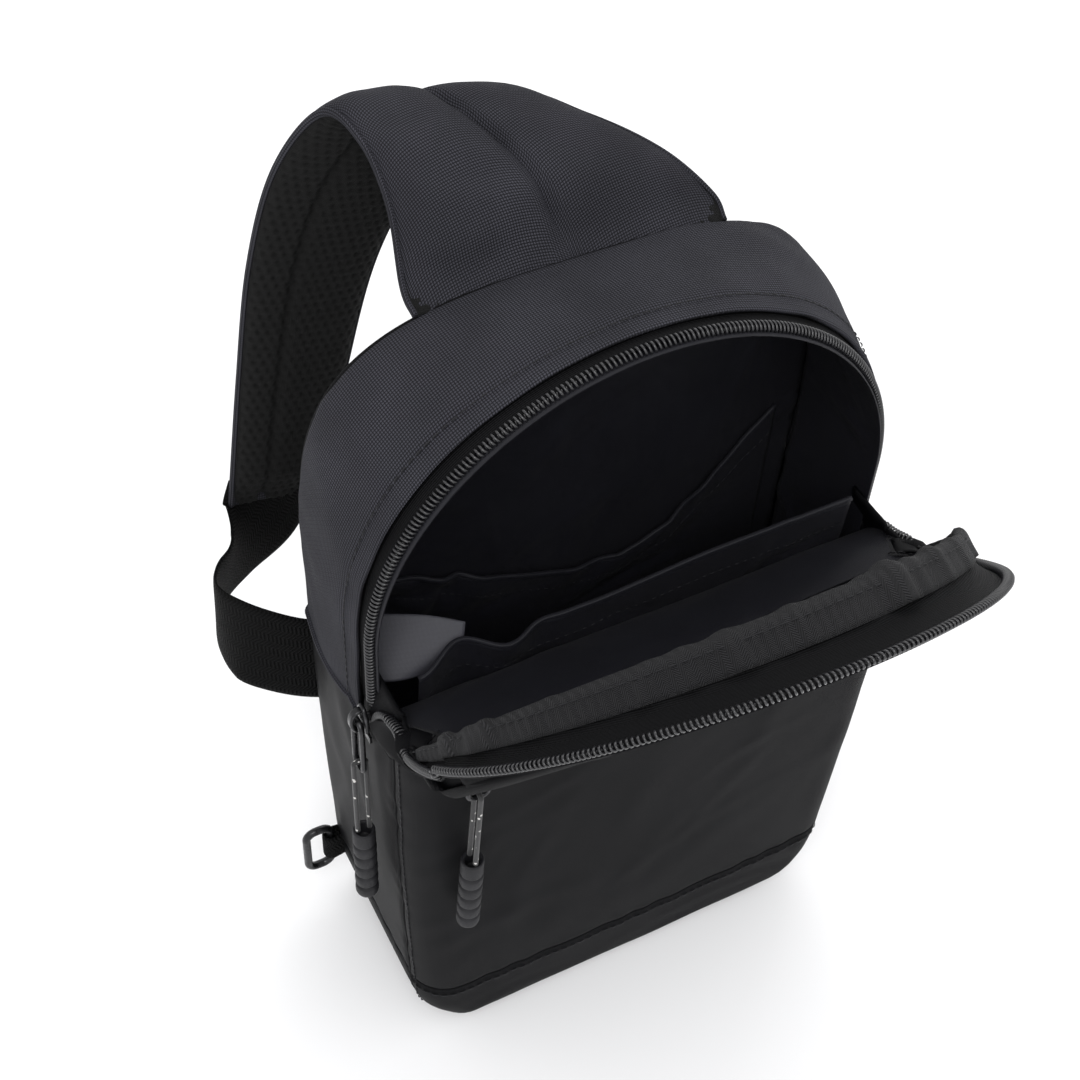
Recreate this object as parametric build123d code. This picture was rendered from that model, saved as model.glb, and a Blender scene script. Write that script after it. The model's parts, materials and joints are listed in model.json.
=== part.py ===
from build123d import *
import math
import os

# A small one-shoulder sling bag, standing on its base with its front flap open.
# Millimetres, +Z up, the front faces -Y, +X is the viewer's right.
# The origin is the centre of the base, on the surface that the bag stands on.

# ---- driving dimensions ----
width = 190.0            # across the bag at the hinge line of the flap
base_width = 177.0       # across the bag just above its base
depth = 84.0             # front to back
front = -depth / 2
back = depth / 2
arch_radius = width / 2
arch_centre_z = 219.0    # the straight sides end and the arched top begins here
base_corner = 28.0       # rounding of the two lower corners seen from the front
front_edge = 12.0        # rounding of the front edges
fabric = 1.6             # thickness of the outer cloth with its foam backing
lining = 0.6
gap = 0.4                # free space between neighbouring layers

hinge_y = front + 31.0   # the main zip runs 31 mm behind the front
hinge_z = 188.0          # its two ends, where the flap hinges
seam_z = 182.0           # top of the smooth side panels
band_z = 35.0            # top of the base band
corner_seam_y = front + 14.0
back_skin_y = back - fabric

# ---- the flap ----
open_angle = 35.0        # how far the flap stands open at rest
flap_start = 50.0        # stiff part of the flap starts this far above the hinge
turned_out = 28.0        # how far the soft rim is turned out beyond the flap's edge
rim_thick = 1.8
coil_radius = 1.4

# ---- the pocket zip ----
pocket_zip_z = 198.0
pocket_zip_half = 76.0

# ---- the shoulder strap ----
strap_seam_z = 303.0
foam_thick = 9.0
cover_thick = 1.5
webbing_width = 38.0
webbing_thick = 1.6

# ---- the pulls ----
ring_wire = 1.0          # radius of the pull ring's wire
ring_long = 24.0
ring_wide = 9.0
cord_radius = 0.9
cord_fold = 2.2          # radius of the cord's fold round the pull ring
cord_visible = 36.0
barrel_radius = 4.6
barrel_long = 38.0
barrel_rings = 5

# ---- the D-rings ----
dee_wire = 1.65
dee_tall = 25.0
dee_out = 10.0
dee_z = 33.0
dee_y = back - 4.0

parts = {}


def keep(name, shape):
    """Registers one sub-part under the name of its node."""
    shape.label = name
    parts[name] = shape
    return shape


def block(x, y, z):
    """A box between two limits on each axis."""
    centre = ((x[0] + x[1]) / 2, (y[0] + y[1]) / 2, (z[0] + z[1]) / 2)
    return Pos(*centre) * Box(x[1] - x[0], y[1] - y[0], z[1] - z[0])


def front_outline(inset):
    """The bag seen from the front: arched top, nearly straight sides, rounded lower corners."""
    half = width / 2 - inset
    low = base_width / 2 - inset
    bottom = inset
    right = TangentArc((half, arch_centre_z), (low, bottom), tangent=(0, -1))
    left = TangentArc((-half, arch_centre_z), (-low, bottom), tangent=(0, -1))
    floor_line = Line((low, bottom), (-low, bottom))
    top = ThreePointArc((-half, arch_centre_z), (0, arch_centre_z + half), (half, arch_centre_z))
    face = make_face([right, floor_line, left, top])
    corners = [v for v in face.vertices() if v.Y < bottom + 1]
    return fillet(corners, base_corner - inset)


def slab(inset, y0, y1):
    """The front outline, pulled in by inset, filled between two depths."""
    face = Plane.XZ * front_outline(inset)
    solid = extrude(face, amount=y1 - y0, dir=(0, 1, 0))
    return Pos(0, y0, 0) * solid


def envelope(inset):
    """The whole bag pulled in by inset, with its rounded front edges."""
    solid = slab(inset, front + inset, back - inset)
    edges = solid.edges().filter_by_position(Axis.Y, front + inset - 0.01, front + inset + 0.01)
    return fillet(edges, front_edge - inset)


everywhere = (-300.0, 300.0)
outer = envelope(0.0)
inner = envelope(fabric)
skin = outer - inner


def from_skin(x, y, z):
    """The part of the bag's outer cloth inside a box."""
    return skin & block(x, y, z)


def make_shell():
    """The outer cloth panels, cut along their seams."""
    low = (-1.0, band_z - gap)
    middle = (band_z, seam_z)
    keep("front_base_band", from_skin(everywhere, (front - 1, corner_seam_y), low))
    keep("base_panel", from_skin(everywhere, (corner_seam_y + gap, back_skin_y - gap), low))
    keep("front_pocket_panel",
         from_skin(everywhere, (front - 1, corner_seam_y), (band_z, pocket_zip_z - 7)))
    side_y = (corner_seam_y + gap, back_skin_y - gap)
    keep("side_panel_left", from_skin((-120, -20), side_y, middle))
    keep("side_panel_right", from_skin((20, 120), side_y, middle))
    keep("upper_gusset", from_skin(everywhere, (hinge_y + 4, back_skin_y - gap), (seam_z + gap, 400)))
    keep("back_panel_cover", slab(0.0, back_skin_y, back))
    keep("back_panel_foam", slab(3.5, back_skin_y - 5.0, back_skin_y - gap))


def make_inside():
    """The stiff board, the wall behind the front pocket, the lining and the slip pockets."""
    base_top = fabric + gap
    keep("base_board", block((-62, 62), (-12, 33), (base_top, base_top + 2.0)))
    wall = slab(fabric + gap, hinge_y - 4.6, hinge_y - 3.4)
    keep("front_inner_wall", wall & block(everywhere, (front, back), (base_top, hinge_z - 2)))
    lining_back = back_skin_y - 5.0 - gap
    hollow = (slab(fabric + gap, hinge_y - 2.8, lining_back)
              - slab(fabric + gap + lining, hinge_y - 2.8 + lining, lining_back - lining))
    mouth = block((-120, 120), (front, hinge_y + 5), (hinge_z - 3, 400))
    board_room = block((-63, 63), (-13, 34), (0, base_top + 2.0 + gap))
    keep("main_lining", hollow - mouth - board_room)
    pocket_half = width / 2 - 12.0
    keep("back_slip_pocket", block((-pocket_half, pocket_half), (27.0, 27.8), (62, 186)))
    keep("front_slip_pocket", block((-pocket_half, pocket_half), (-8.6, -7.8), (62, 208)))
    keep("care_label", block((-84.0, -83.4), (2.0, 22.0), (196, 222)))


def arch_tube(centre_z, radius, y, wire_radius, low_z):
    """A round bar along the arch, with straight legs down to low_z."""
    path = Wire([
        Line((-radius, y, low_z), (-radius, y, centre_z)),
        ThreePointArc((-radius, y, centre_z), (0, y, centre_z + radius), (radius, y, centre_z)),
        Line((radius, y, centre_z), (radius, y, low_z)),
    ])
    section = Plane(origin=(-radius, y, low_z), z_dir=(0, 0, 1)) * Circle(wire_radius)
    return sweep(section, path=path)


def make_main_zip():
    """The body's half of the main zip: tape, coil and the two end stops."""
    tape_y = (hinge_y + 1.8, hinge_y + 3.8)
    tape = slab(0.2, *tape_y) - slab(1.2, *tape_y)
    keep("body_zip_tape", tape & block(everywhere, everywhere, (hinge_z + 6, 400)))
    coil_arch = arch_radius - 0.7 - coil_radius
    keep("body_zip_coil",
         arch_tube(arch_centre_z, coil_arch, hinge_y + 0.7, coil_radius, hinge_z + 9))
    stops = Part()
    for side in (-1, 1):
        x = sorted((side * (width / 2 + 0.2), side * (width / 2 + 1.1)))
        stops += block(x, (hinge_y - 2.6, hinge_y + 2.6), (hinge_z - 14, hinge_z - 11))
    keep("zip_end_stops", stops)


def make_pocket_zip():
    """The front pocket's zip: two tapes, the closed coil between them, and its end stops."""
    half = pocket_zip_half
    y = (front, front + 1.0)
    keep("pocket_zip_tape_lower", block((-half, half), y, (pocket_zip_z - 6.6, pocket_zip_z - 2.0)))
    keep("pocket_zip_tape_upper", block((-half, half), y, (pocket_zip_z + 2.0, pocket_zip_z + 6.6)))
    coil = block((-half, half), (front - 0.8, front + 0.8), (pocket_zip_z - 1.7, pocket_zip_z + 1.7))
    keep("pocket_zip_coil", coil)


def opened(shape):
    """Turns a piece of the flap from closed to its stored, open place."""
    axis = Axis((0, hinge_y, hinge_z), (1, 0, 0))
    return shape.rotate(axis, open_angle)


def crescent(inner_shift, outer_shift, y0, y1, side_limit):
    """The turned-out rim between the flap's arch shifted up by two amounts."""
    def disc(shift):
        face = Plane.XZ * Pos(0, arch_centre_z + shift) * Circle(arch_radius)
        return Pos(0, y0, 0) * extrude(face, amount=y1 - y0, dir=(0, 1, 0))

    strip = disc(outer_shift) - disc(inner_shift)
    return strip & block((-side_limit, side_limit), everywhere, (arch_centre_z, 500))


def make_flap():
    """The front flap, modelled closed and then turned open about the hinge line."""
    start = hinge_z + flap_start
    above = (start, 400)
    reach = 71.5             # the turned-out rim spans this far to each side
    panel_side_y = (front - 1, corner_seam_y)
    flat_part = slab(front_edge, front - 1, front + fabric + 0.01)
    wrapped_sides = block((-120, -reach - 1), panel_side_y, above)
    wrapped_sides += block((reach + 1, 120), panel_side_y, above)
    keep("flap_panel", opened(from_skin(everywhere, panel_side_y, above) & (flat_part + wrapped_sides)))
    lining_front = front + fabric + 0.2
    lining_plate = slab(front_edge + 2, lining_front, lining_front + lining)
    keep("flap_lining", opened(lining_plate & block(everywhere, panel_side_y, above)))
    side_top = arch_centre_z + arch_radius * math.cos(math.radians(52))
    side_y = (corner_seam_y + gap, hinge_y - 3)
    for name, x in (("left", (-120, -20)), ("right", (20, 120))):
        keep("flap_gusset_" + name, opened(from_skin(x, side_y, (start, side_top))))
    y0 = front - 0.4
    y1 = y0 + rim_thick
    edge_gap = -5.0
    split = turned_out * 0.55
    keep("flap_facing", opened(crescent(edge_gap, split, y0, y1, reach)))
    keep("flap_zip_tape", opened(crescent(split + 0.2, turned_out - 2.2, y0 + 0.4, y1 - 0.2, reach)))
    coil_path_z = arch_centre_z + turned_out
    swing = math.asin(reach / arch_radius)
    end_z = coil_path_z + arch_radius * math.cos(swing)
    coil_y = y0 + rim_thick / 2
    top = (0, coil_y, coil_path_z + arch_radius)
    arc = ThreePointArc((-reach, coil_y, end_z), top, (reach, coil_y, end_z))
    section = Plane(origin=arc @ 0, z_dir=arc % 0) * Circle(coil_radius - 0.2)
    keep("flap_zip_coil", opened(sweep(section, path=arc)))


# Edges of the padded strap, halfway through its thickness: from the seam, over the top,
# and down to its end behind the bag. Each row is one station, left edge then right edge.
strap_edges = [
    ((-53.5, back + 8, strap_seam_z), (53.5, back + 8, strap_seam_z)),
    ((-50.0, 67.0, 321.0), (41.0, 62.0, 316.0)),
    ((-51.0, 85.0, 333.0), (22.0, 77.0, 325.0)),
    ((-57.0, 101.0, 334.0), (3.0, 95.0, 326.0)),
    ((-70.0, 111.0, 309.0), (-18.0, 107.0, 300.0)),
    ((-80.0, 115.0, 270.0), (-35.0, 114.0, 262.0)),
    ((-88.0, 115.0, 220.0), (-48.0, 115.0, 213.0)),
    ((-98.0, 109.0, 166.0), (-61.0, 112.0, 156.0)),
]
strap_stations = 17


def strap_layer(low, high, narrow):
    """One layer of the strap: a chain of plates between stations along its two edges."""
    left = Spline(*[row[0] for row in strap_edges])
    right = Spline(*[row[1] for row in strap_edges])
    sections = []
    for i in range(strap_stations):
        t = i / (strap_stations - 1)
        side = (right @ t - left @ t).normalized()
        normal = side.cross(left % t + right % t).normalized()
        start = left @ t + side * narrow
        end = right @ t - side * narrow
        corners = [start + normal * low, end + normal * low, end + normal * high, start + normal * high]
        sections.append(make_face(Polyline(*corners, close=True)))
    layer = loft(sections[0:2], ruled=True)
    for near, far in zip(sections[1:-1], sections[2:]):
        layer += loft([near, far], ruled=True)
    return layer


def make_strap():
    """Padded shoulder strap: outer cover, foam and the mesh on its inner side."""
    keep("strap_cover", strap_layer(foam_thick / 2 + 0.2, foam_thick / 2 + cover_thick, 0.0))
    keep("strap_foam", strap_layer(-foam_thick / 2 + 1.0, foam_thick / 2, 1.5))
    keep("strap_mesh", strap_layer(-foam_thick / 2 - 1.0, -foam_thick / 2 + 0.8, 0.5))


# The webbing runs straight across the back, from its turn at the left to the right D-ring.
web_left = Vector(-82.0, back + 5.7, 137.0)
web_right = Vector(74.0, back + 5.7, 46.8)
web_along = (web_left - web_right).normalized()
web_plane = Plane(origin=web_right, x_dir=web_along, z_dir=(0, 1, 0))
web_clear = 8.0          # free length at the hook's eye, where the real webbing folds round it
turn_route = [(-85.0, 50.0), (-99.0, 58.0), (-110.0, 67.0), (-113.0, 78.0), (-107.0, 91.0), (-94.0, 102.0)]
turn_low = 118.0
turn_high = 153.0


def make_webbing():
    """The webbing below the strap: it turns back towards the bag and crosses behind it."""
    run = (web_left - web_right).length
    strip = Box(run - web_clear, webbing_width, webbing_thick)
    keep("webbing", web_plane * (Pos((run + web_clear) / 2, 0, 0) * strip))
    band = trace(Polyline(*turn_route), line_width=webbing_thick)
    keep("webbing_turn", Pos(0, 0, turn_low) * extrude(band, amount=turn_high - turn_low))


def make_adjuster():
    """Three-bar adjuster on the outer side of the webbing."""
    frame = Box(27.0, webbing_width + 8, 2.2)
    for x in (-6.0, 6.0):
        frame -= Pos(x, 0, 0) * Box(8.0, webbing_width + 1, 4.0)
    keep("strap_adjuster", web_plane * (Pos(48.0, 0, webbing_thick / 2 + 0.4 + 1.1) * frame))


def closed_bar(centre, u, v, half_u, half_v, bar_radius, corner):
    """A round bar bent into a rectangle with rounded corners."""
    corners = [centre + u * (su * half_u) + v * (sv * half_v)
               for su, sv in ((-1, 0.999), (1, 1), (1, -1), (-1, -1))]
    path = FilletPolyline(*corners, radius=corner, close=True)
    section = Plane(origin=path @ 0, z_dir=path % 0) * Circle(bar_radius)
    return sweep(section, path=path)


hook_wire = 1.4
eye_wire = 1.7
hook_half = 12.0
eye_half = 5.0


def make_hook():
    """The snap hook: an eye for the webbing, a nose round the right D-ring, and its gate."""
    across = Vector(0, 1, 0)
    bow = dee_bow_middle(1)
    centre = Vector(bow.X, bow.Y, bow.Z) + web_along * (hook_half - hook_wire - 2.3)
    loop = closed_bar(centre, web_along, across, hook_half, 3.8, hook_wire, 3.4)
    gate_centre = centre + across * 3.8
    opening = Plane(origin=gate_centre, x_dir=web_along, z_dir=across) * Box(11.0, 4.0, 3.4)
    eye_centre = centre + web_along * (hook_half + hook_wire + eye_half)
    over = web_plane.y_dir
    eye = closed_bar(eye_centre, web_along, over, eye_half, webbing_width / 2 + 2.6, eye_wire, 3.0)
    neck = Plane(origin=centre + web_along * (hook_half + 0.8), z_dir=web_along)
    stem = neck * Cylinder(2.2, 3.4)
    keep("snap_hook", (loop - opening) + eye + stem)
    bar = Plane(origin=gate_centre, z_dir=web_along) * Cylinder(hook_wire - 0.2, 9.8)
    keep("snap_hook_gate", bar)
    hinge_end = gate_centre + web_along * 5.1
    print("gate hinge", tuple(hinge_end), "hook swivel", tuple(bow), "eye", tuple(eye_centre))


def dee_heading(side):
    """Where a D-ring's bow points: straight out on the left, pulled back on the right."""
    return Vector(-1, 0, 0) if side < 0 else Vector(0.25, 0.97, 0).normalized()


def dee_bar(side):
    """The middle of a D-ring's straight bar."""
    return Vector(side * (base_width / 2 + 6.2), dee_y, dee_z)


def dee_bow_middle(side):
    return dee_bar(side) + dee_heading(side) * dee_out


def make_tabs():
    """The two webbing tabs at the lower back corners and their D-rings."""
    upright = Vector(0, 0, 1)
    for side, name in ((-1, "left"), (1, "right")):
        centre = dee_bar(side) + dee_heading(side) * (dee_out / 2)
        ring = closed_bar(centre, dee_heading(side), upright, dee_out / 2, dee_tall / 2, dee_wire, 4.0)
        keep("d_ring_" + name, ring)
        reach = dee_wire + 1.6
        bar = dee_bar(side)
        x = sorted((side * (base_width / 2 + 2.7), bar.X + side * reach))
        body = block(x, (bar.Y - reach, bar.Y + reach), (dee_z - 7.5, dee_z + 7.5))
        keep("tab_" + name, body - Pos(*bar) * Cylinder(dee_wire + 0.2, 40))


def pull_set(name, slider_at, out, lean):
    """A slider with its ring, folded cord and barrel.

    slider_at is the zip's centre line at the slider, out the direction away from the cloth,
    and lean the direction that the ring, cord and barrel hang in.
    """
    at = Vector(*slider_at)
    away = Vector(*out)
    down = Vector(*lean).normalized()
    side = down.cross(away).normalized()
    base = Plane(origin=at, x_dir=side, z_dir=away)
    lower = base * (Pos(0, 0, 1.9) * Box(8.4, 12.0, 1.4))
    bridge = base * (Pos(0, 0, 4.5) * Box(2.6, 9.6, 3.8) - Pos(0, 0, 4.1) * Box(4.0, 5.6, 2.6))
    keep("slider_" + name, lower + bridge)
    hang = at + away * 4.1
    ring_top = hang
    ring_low = ring_top + down * ring_long
    half = side * (ring_wide / 2 - ring_wire)
    ring_points = [ring_top + half, ring_low + half, ring_low - half, ring_top - half]
    ring_path = FilletPolyline(*ring_points, radius=2.6, close=True)
    ring_section = Plane(origin=ring_path @ 0, z_dir=ring_path % 0) * Circle(ring_wire)
    keep("pull_ring_" + name, sweep(ring_section, path=ring_path))
    barrel_top = ring_low + down * cord_visible
    spread = (away - down * away.dot(down)).normalized() * cord_fold
    fold_up = ring_low - down * (cord_fold + 0.05)
    first = Line(barrel_top + spread, ring_low + spread)
    fold = ThreePointArc(ring_low + spread, fold_up, ring_low - spread)
    second = Line(ring_low - spread, barrel_top - spread)
    cord_path = Wire([first, fold, second])
    cord_section = Plane(origin=first @ 0, z_dir=first % 0) * Circle(cord_radius)
    keep("pull_cord_" + name, sweep(cord_section, path=cord_path))
    barrel_plane = Plane(origin=barrel_top + down * 0.05, x_dir=side, z_dir=down)
    barrel = barrel_plane * (Pos(0, 0, barrel_long / 2) * Cylinder(barrel_radius, barrel_long))
    for i in range(barrel_rings):
        groove_z = 8.0 + i * 6.0
        ring = Cylinder(barrel_radius + 1, 1.0) - Cylinder(barrel_radius - 0.6, 1.0)
        barrel -= barrel_plane * (Pos(0, 0, groove_z) * ring)
    keep("pull_barrel_" + name, barrel)
    length = 2 * cord_visible + math.pi * cord_fold
    swept = parts["pull_cord_" + name].volume / (math.pi * cord_radius ** 2)
    print(name, "cord", round(length, 1), "by volume", round(swept, 1), "hangs from", tuple(hang),
          "folds at", tuple(ring_low), "lean", tuple(down), "side", tuple(side))


make_shell()
make_inside()
make_main_zip()
make_pocket_zip()
make_flap()
make_strap()
make_webbing()
make_adjuster()
make_tabs()
make_hook()
pull_set("left", (-width / 2, hinge_y, hinge_z - 2), (-1, 0, 0), (-0.02, -0.06, -1))
pull_set("right", (width / 2, hinge_y, hinge_z - 2), (1, 0, 0), (0.2, 0.07, -1))
pull_set("pocket", (-pocket_zip_half + 4, front, pocket_zip_z), (0, -1, 0), (-0.05, -0.03, -1))

os.makedirs("parts", exist_ok=True)
for node, solid in parts.items():
    export_step(solid, f"parts/{node}.step")
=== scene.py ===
import bpy
import json
import math
import random
import numpy as np
from mathutils import Matrix, Vector


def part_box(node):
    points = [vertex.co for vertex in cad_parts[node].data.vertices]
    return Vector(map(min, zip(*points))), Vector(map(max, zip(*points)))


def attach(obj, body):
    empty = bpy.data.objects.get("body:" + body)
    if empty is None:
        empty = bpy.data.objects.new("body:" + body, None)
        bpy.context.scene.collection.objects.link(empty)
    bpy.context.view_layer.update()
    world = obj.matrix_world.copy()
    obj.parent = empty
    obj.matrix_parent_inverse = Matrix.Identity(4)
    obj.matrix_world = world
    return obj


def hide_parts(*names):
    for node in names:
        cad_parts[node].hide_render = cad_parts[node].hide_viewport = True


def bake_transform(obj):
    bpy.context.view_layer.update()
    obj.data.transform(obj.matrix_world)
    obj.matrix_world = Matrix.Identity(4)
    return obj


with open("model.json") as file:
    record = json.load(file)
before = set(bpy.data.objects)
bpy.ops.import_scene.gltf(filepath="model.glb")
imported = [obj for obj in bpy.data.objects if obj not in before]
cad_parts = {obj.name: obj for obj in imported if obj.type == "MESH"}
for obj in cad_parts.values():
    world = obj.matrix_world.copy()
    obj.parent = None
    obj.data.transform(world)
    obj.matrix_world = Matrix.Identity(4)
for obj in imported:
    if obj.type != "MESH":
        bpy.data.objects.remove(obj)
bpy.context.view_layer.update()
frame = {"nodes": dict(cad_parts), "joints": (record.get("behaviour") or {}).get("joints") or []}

# A small black sling bag with its front flap open. Lengths here are millimetres, in the frame of
# the CAD model, and turn into metres where a mesh is made.
MM = 0.001


def corners(node):
    low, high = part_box(node)
    return np.array(low) / MM, np.array(high) / MM


def joint(name):
    return next(j for j in frame["joints"] if j["name"] == name)


# ---- sizes that come from the frame ----
HALF = corners("upper_gusset")[1][0]
APEX = corners("upper_gusset")[1][2]
CENTRE = APEX - HALF
FRONT = corners("front_pocket_panel")[0][1]
BACK = corners("back_panel_cover")[1][1]
BAND_TOP = corners("front_pocket_panel")[0][2]
PANEL_TOP = corners("front_pocket_panel")[1][2]
SEAM_TOP = corners("side_panel_left")[1][2]
CORNER_SEAM = corners("front_pocket_panel")[1][1]
HINGE_Y, HINGE_Z = (v / MM for v in joint("flap_hinge")["pos_m"][1:])
OPEN = math.radians(-joint("flap_hinge")["range_deg"][0])
QUARTER = HALF * math.pi / 2     # length of the arch from its top to where its legs start

# ---- sizes that the CAD model has too, but no box gives ----
BASE_HALF = 88.5                 # half the width at the foot
BASE_CORNER = 28.0               # radius of the lower corners, seen from the front
FRONT_EDGE = 12.0                # radius where the front turns under
STRAP_HALF = 53.5                # half the strap's width at its seam
STRAP_Z = 303.0                  # height of the strap's seam
ZIP_Z = 198.0                    # height of the pocket zip
ZIP_HALF = 76.0
FLAP_FOOT = ZIP_Z + 7.0          # where the flap's face starts
FLAP_FACE = FRONT - 0.2

# ---- thicknesses and mesh counts ----
SMOOTH_THICK = 1.2
LINING_THICK = 0.5
TAPE_THICK = 0.6
SEAM_RADIUS = 0.7
GUSSET_COLUMNS = 230
ZIP_COLUMNS = 300
LINING_COLUMNS = 170
RIM_COLUMNS = 420
GUSSET_CROWN = 2.6               # how far the gusset bulges between its edges


# ---- small geometry helpers ----
def smooth(t):
    t = np.clip(t, 0.0, 1.0)
    return t * t * (3 - 2 * t)


def unit(v):
    v = np.asarray(v, float)
    return v / np.maximum(np.linalg.norm(v, axis=-1, keepdims=True), 1e-9)


def lengths(points):
    """Distance along a line of points, starting at 0."""
    steps = np.linalg.norm(np.diff(points, axis=0), axis=1)
    return np.concatenate([[0.0], np.cumsum(steps)])


def resample(points, count):
    points = np.asarray(points, float)
    along = lengths(points)
    at = np.linspace(0, along[-1], count)
    return np.stack([np.interp(at, along, points[:, k]) for k in range(points.shape[1])], axis=1)


def stations(points, steps):
    """A smooth line through the points (Catmull-Rom), with the same number of steps in each span."""
    p = np.asarray(points, float)
    p = np.vstack([2 * p[0] - p[1], p, 2 * p[-1] - p[-2]])
    out = []
    for i in range(1, len(p) - 2):
        for t in np.linspace(0, 1, steps, endpoint=False):
            out.append(0.5 * (2 * p[i] + (p[i + 1] - p[i - 1]) * t
                              + (2 * p[i - 1] - 5 * p[i] + 4 * p[i + 1] - p[i + 2]) * t * t
                              + (3 * p[i] - p[i - 1] - 3 * p[i + 1] + p[i + 2]) * t ** 3))
    out.append(p[-2])
    return np.array(out)


def curve_through(points, count):
    """A smooth line through a few points, resampled evenly."""
    return resample(stations(points, 24), count)


def normals_of(grid):
    along = np.gradient(grid, axis=0)
    across = np.gradient(grid, axis=1)
    return unit(np.cross(along, across))


def arch_normals(grid):
    """Normals of a sheet that follows the arch, pointing outwards at its top."""
    normal = normals_of(grid)
    return -normal if normal[10, grid.shape[1] // 2, 2] < 0 else normal


def grid_uv(grid, wrap):
    """Distances along the cloth in metres, measured from the middle, one pair per grid corner."""
    full = np.concatenate([grid, grid[:, :1]], axis=1) if wrap else grid
    u = np.zeros(full.shape[:2])
    v = np.zeros(full.shape[:2])
    u[1:] = np.cumsum(np.linalg.norm(np.diff(full, axis=0), axis=2), axis=0)
    v[:, 1:] = np.cumsum(np.linalg.norm(np.diff(full, axis=1), axis=2), axis=1)
    u -= u[len(u) // 2]
    v -= v[:, full.shape[1] // 2][:, None]
    return np.stack([u, v], axis=2) * MM


def build(name, verts, faces, material, face_uv=None):
    mesh = bpy.data.meshes.new(name)
    mesh.from_pydata((np.asarray(verts) * MM).tolist(), [], faces)
    mesh.polygons.foreach_set("use_smooth", [True] * len(mesh.polygons))
    mesh.materials.append(material)
    if face_uv is not None:
        layer = mesh.uv_layers.new(name="cloth")
        layer.data.foreach_set("uv", np.asarray(face_uv, np.float32).ravel())
    mesh.update()
    piece = bpy.data.objects.new(name, mesh)
    bpy.context.collection.objects.link(piece)
    return piece


def quads(rows, columns, wrap, offset=0, flip=False):
    faces = []
    last = columns if wrap else columns - 1
    for i in range(rows - 1):
        for j in range(last):
            k = (j + 1) % columns
            face = (i * columns + j, (i + 1) * columns + j, (i + 1) * columns + k, i * columns + k)
            face = tuple(offset + f for f in face)
            faces.append(face[::-1] if flip else face)
    return faces


def quad_uv(uv, rows, columns, wrap, flip=False):
    out = []
    last = columns if wrap else columns - 1
    for i in range(rows - 1):
        for j in range(last):
            four = [uv[i, j], uv[i + 1, j], uv[i + 1, j + 1], uv[i, j + 1]]
            out.extend(four[::-1] if flip else four)
    return out


def tube_of_rings(name, rings, material, caps=True):
    """A closed form lofted through closed rings of points, with flat ends."""
    rows, columns = rings.shape[:2]
    uv = grid_uv(rings, True)
    faces = quads(rows, columns, True)
    face_uv = quad_uv(uv, rows, columns, True)
    if caps:
        for ring, reverse in ((0, False), (rows - 1, True)):
            face = [ring * columns + j for j in range(columns)]
            corner_uv = [uv[ring, j] for j in range(columns)]
            faces.append(tuple(face[::-1] if reverse else face))
            face_uv.extend(corner_uv[::-1] if reverse else corner_uv)
    return build(name, rings.reshape(-1, 3), faces, material, face_uv)


def cloth(name, grid, material, thick=1.2):
    """A sheet with real thickness: the grid is its outer face, and it grows against its normals."""
    rows, columns = grid.shape[:2]
    inner = grid - normals_of(grid) * thick
    uv = grid_uv(grid, False)
    count = rows * columns
    faces = quads(rows, columns, False) + quads(rows, columns, False, count, True)
    face_uv = quad_uv(uv, rows, columns, False) + quad_uv(uv, rows, columns, False, True)
    edge = [(i, 0) for i in range(rows)] + [(rows - 1, j) for j in range(1, columns)]
    edge += [(i, columns - 1) for i in range(rows - 2, -1, -1)]
    edge += [(0, j) for j in range(columns - 2, 0, -1)]
    for a, b in zip(edge, edge[1:] + edge[:1]):
        ia = a[0] * columns + a[1]
        ib = b[0] * columns + b[1]
        faces.append((ib, ia, count + ia, count + ib))
        face_uv.extend([uv[b], uv[a], uv[a], uv[b]])
    verts = np.concatenate([grid.reshape(-1, 3), inner.reshape(-1, 3)])
    return build(name, verts, faces, material, face_uv)


def frames_along(path, hint):
    """Unit tangent, normal and binormal at each point; the normal stays close to the hint."""
    tangent = unit(np.gradient(path, axis=0))
    hint = np.broadcast_to(np.asarray(hint, float), path.shape)
    normal = unit(hint - tangent * np.sum(hint * tangent, axis=1, keepdims=True))
    return tangent, normal, np.cross(tangent, normal)


def tube(name, path, radius, material, hint=(0.1, 0.2, 1.0), sides=10, flat=1.0):
    """A round or oval bar along a path."""
    path = np.asarray(path, float)
    _, normal, side = frames_along(path, hint)
    turn = np.linspace(0, 2 * math.pi, sides, endpoint=False)
    ring = (normal[:, None] * np.cos(turn)[None, :, None] * flat
            + side[:, None] * np.sin(turn)[None, :, None])
    return tube_of_rings(name, path[:, None] + ring * radius, material)


def ribbon(name, path, width_way, width, thick, material, across=12):
    """A woven band: a flat section with rounded edges, swept along a path."""
    path = np.asarray(path, float)
    tangent = unit(np.gradient(path, axis=0))
    way = np.broadcast_to(np.asarray(width_way, float), path.shape)
    way = unit(way - tangent * np.sum(way * tangent, axis=1, keepdims=True))
    out = np.cross(tangent, way)
    half = width / 2
    a = np.linspace(-half, half, across)
    edge = np.sqrt(np.clip(1 - (np.abs(a) / half) ** 12, 0.1, 1)) * thick / 2
    section_a = np.concatenate([a, a[::-1]])
    section_b = np.concatenate([edge, -edge[::-1]])
    rings = (path[:, None] + way[:, None] * section_a[None, :, None]
             + out[:, None] * section_b[None, :, None])
    return tube_of_rings(name, rings, material)


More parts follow.
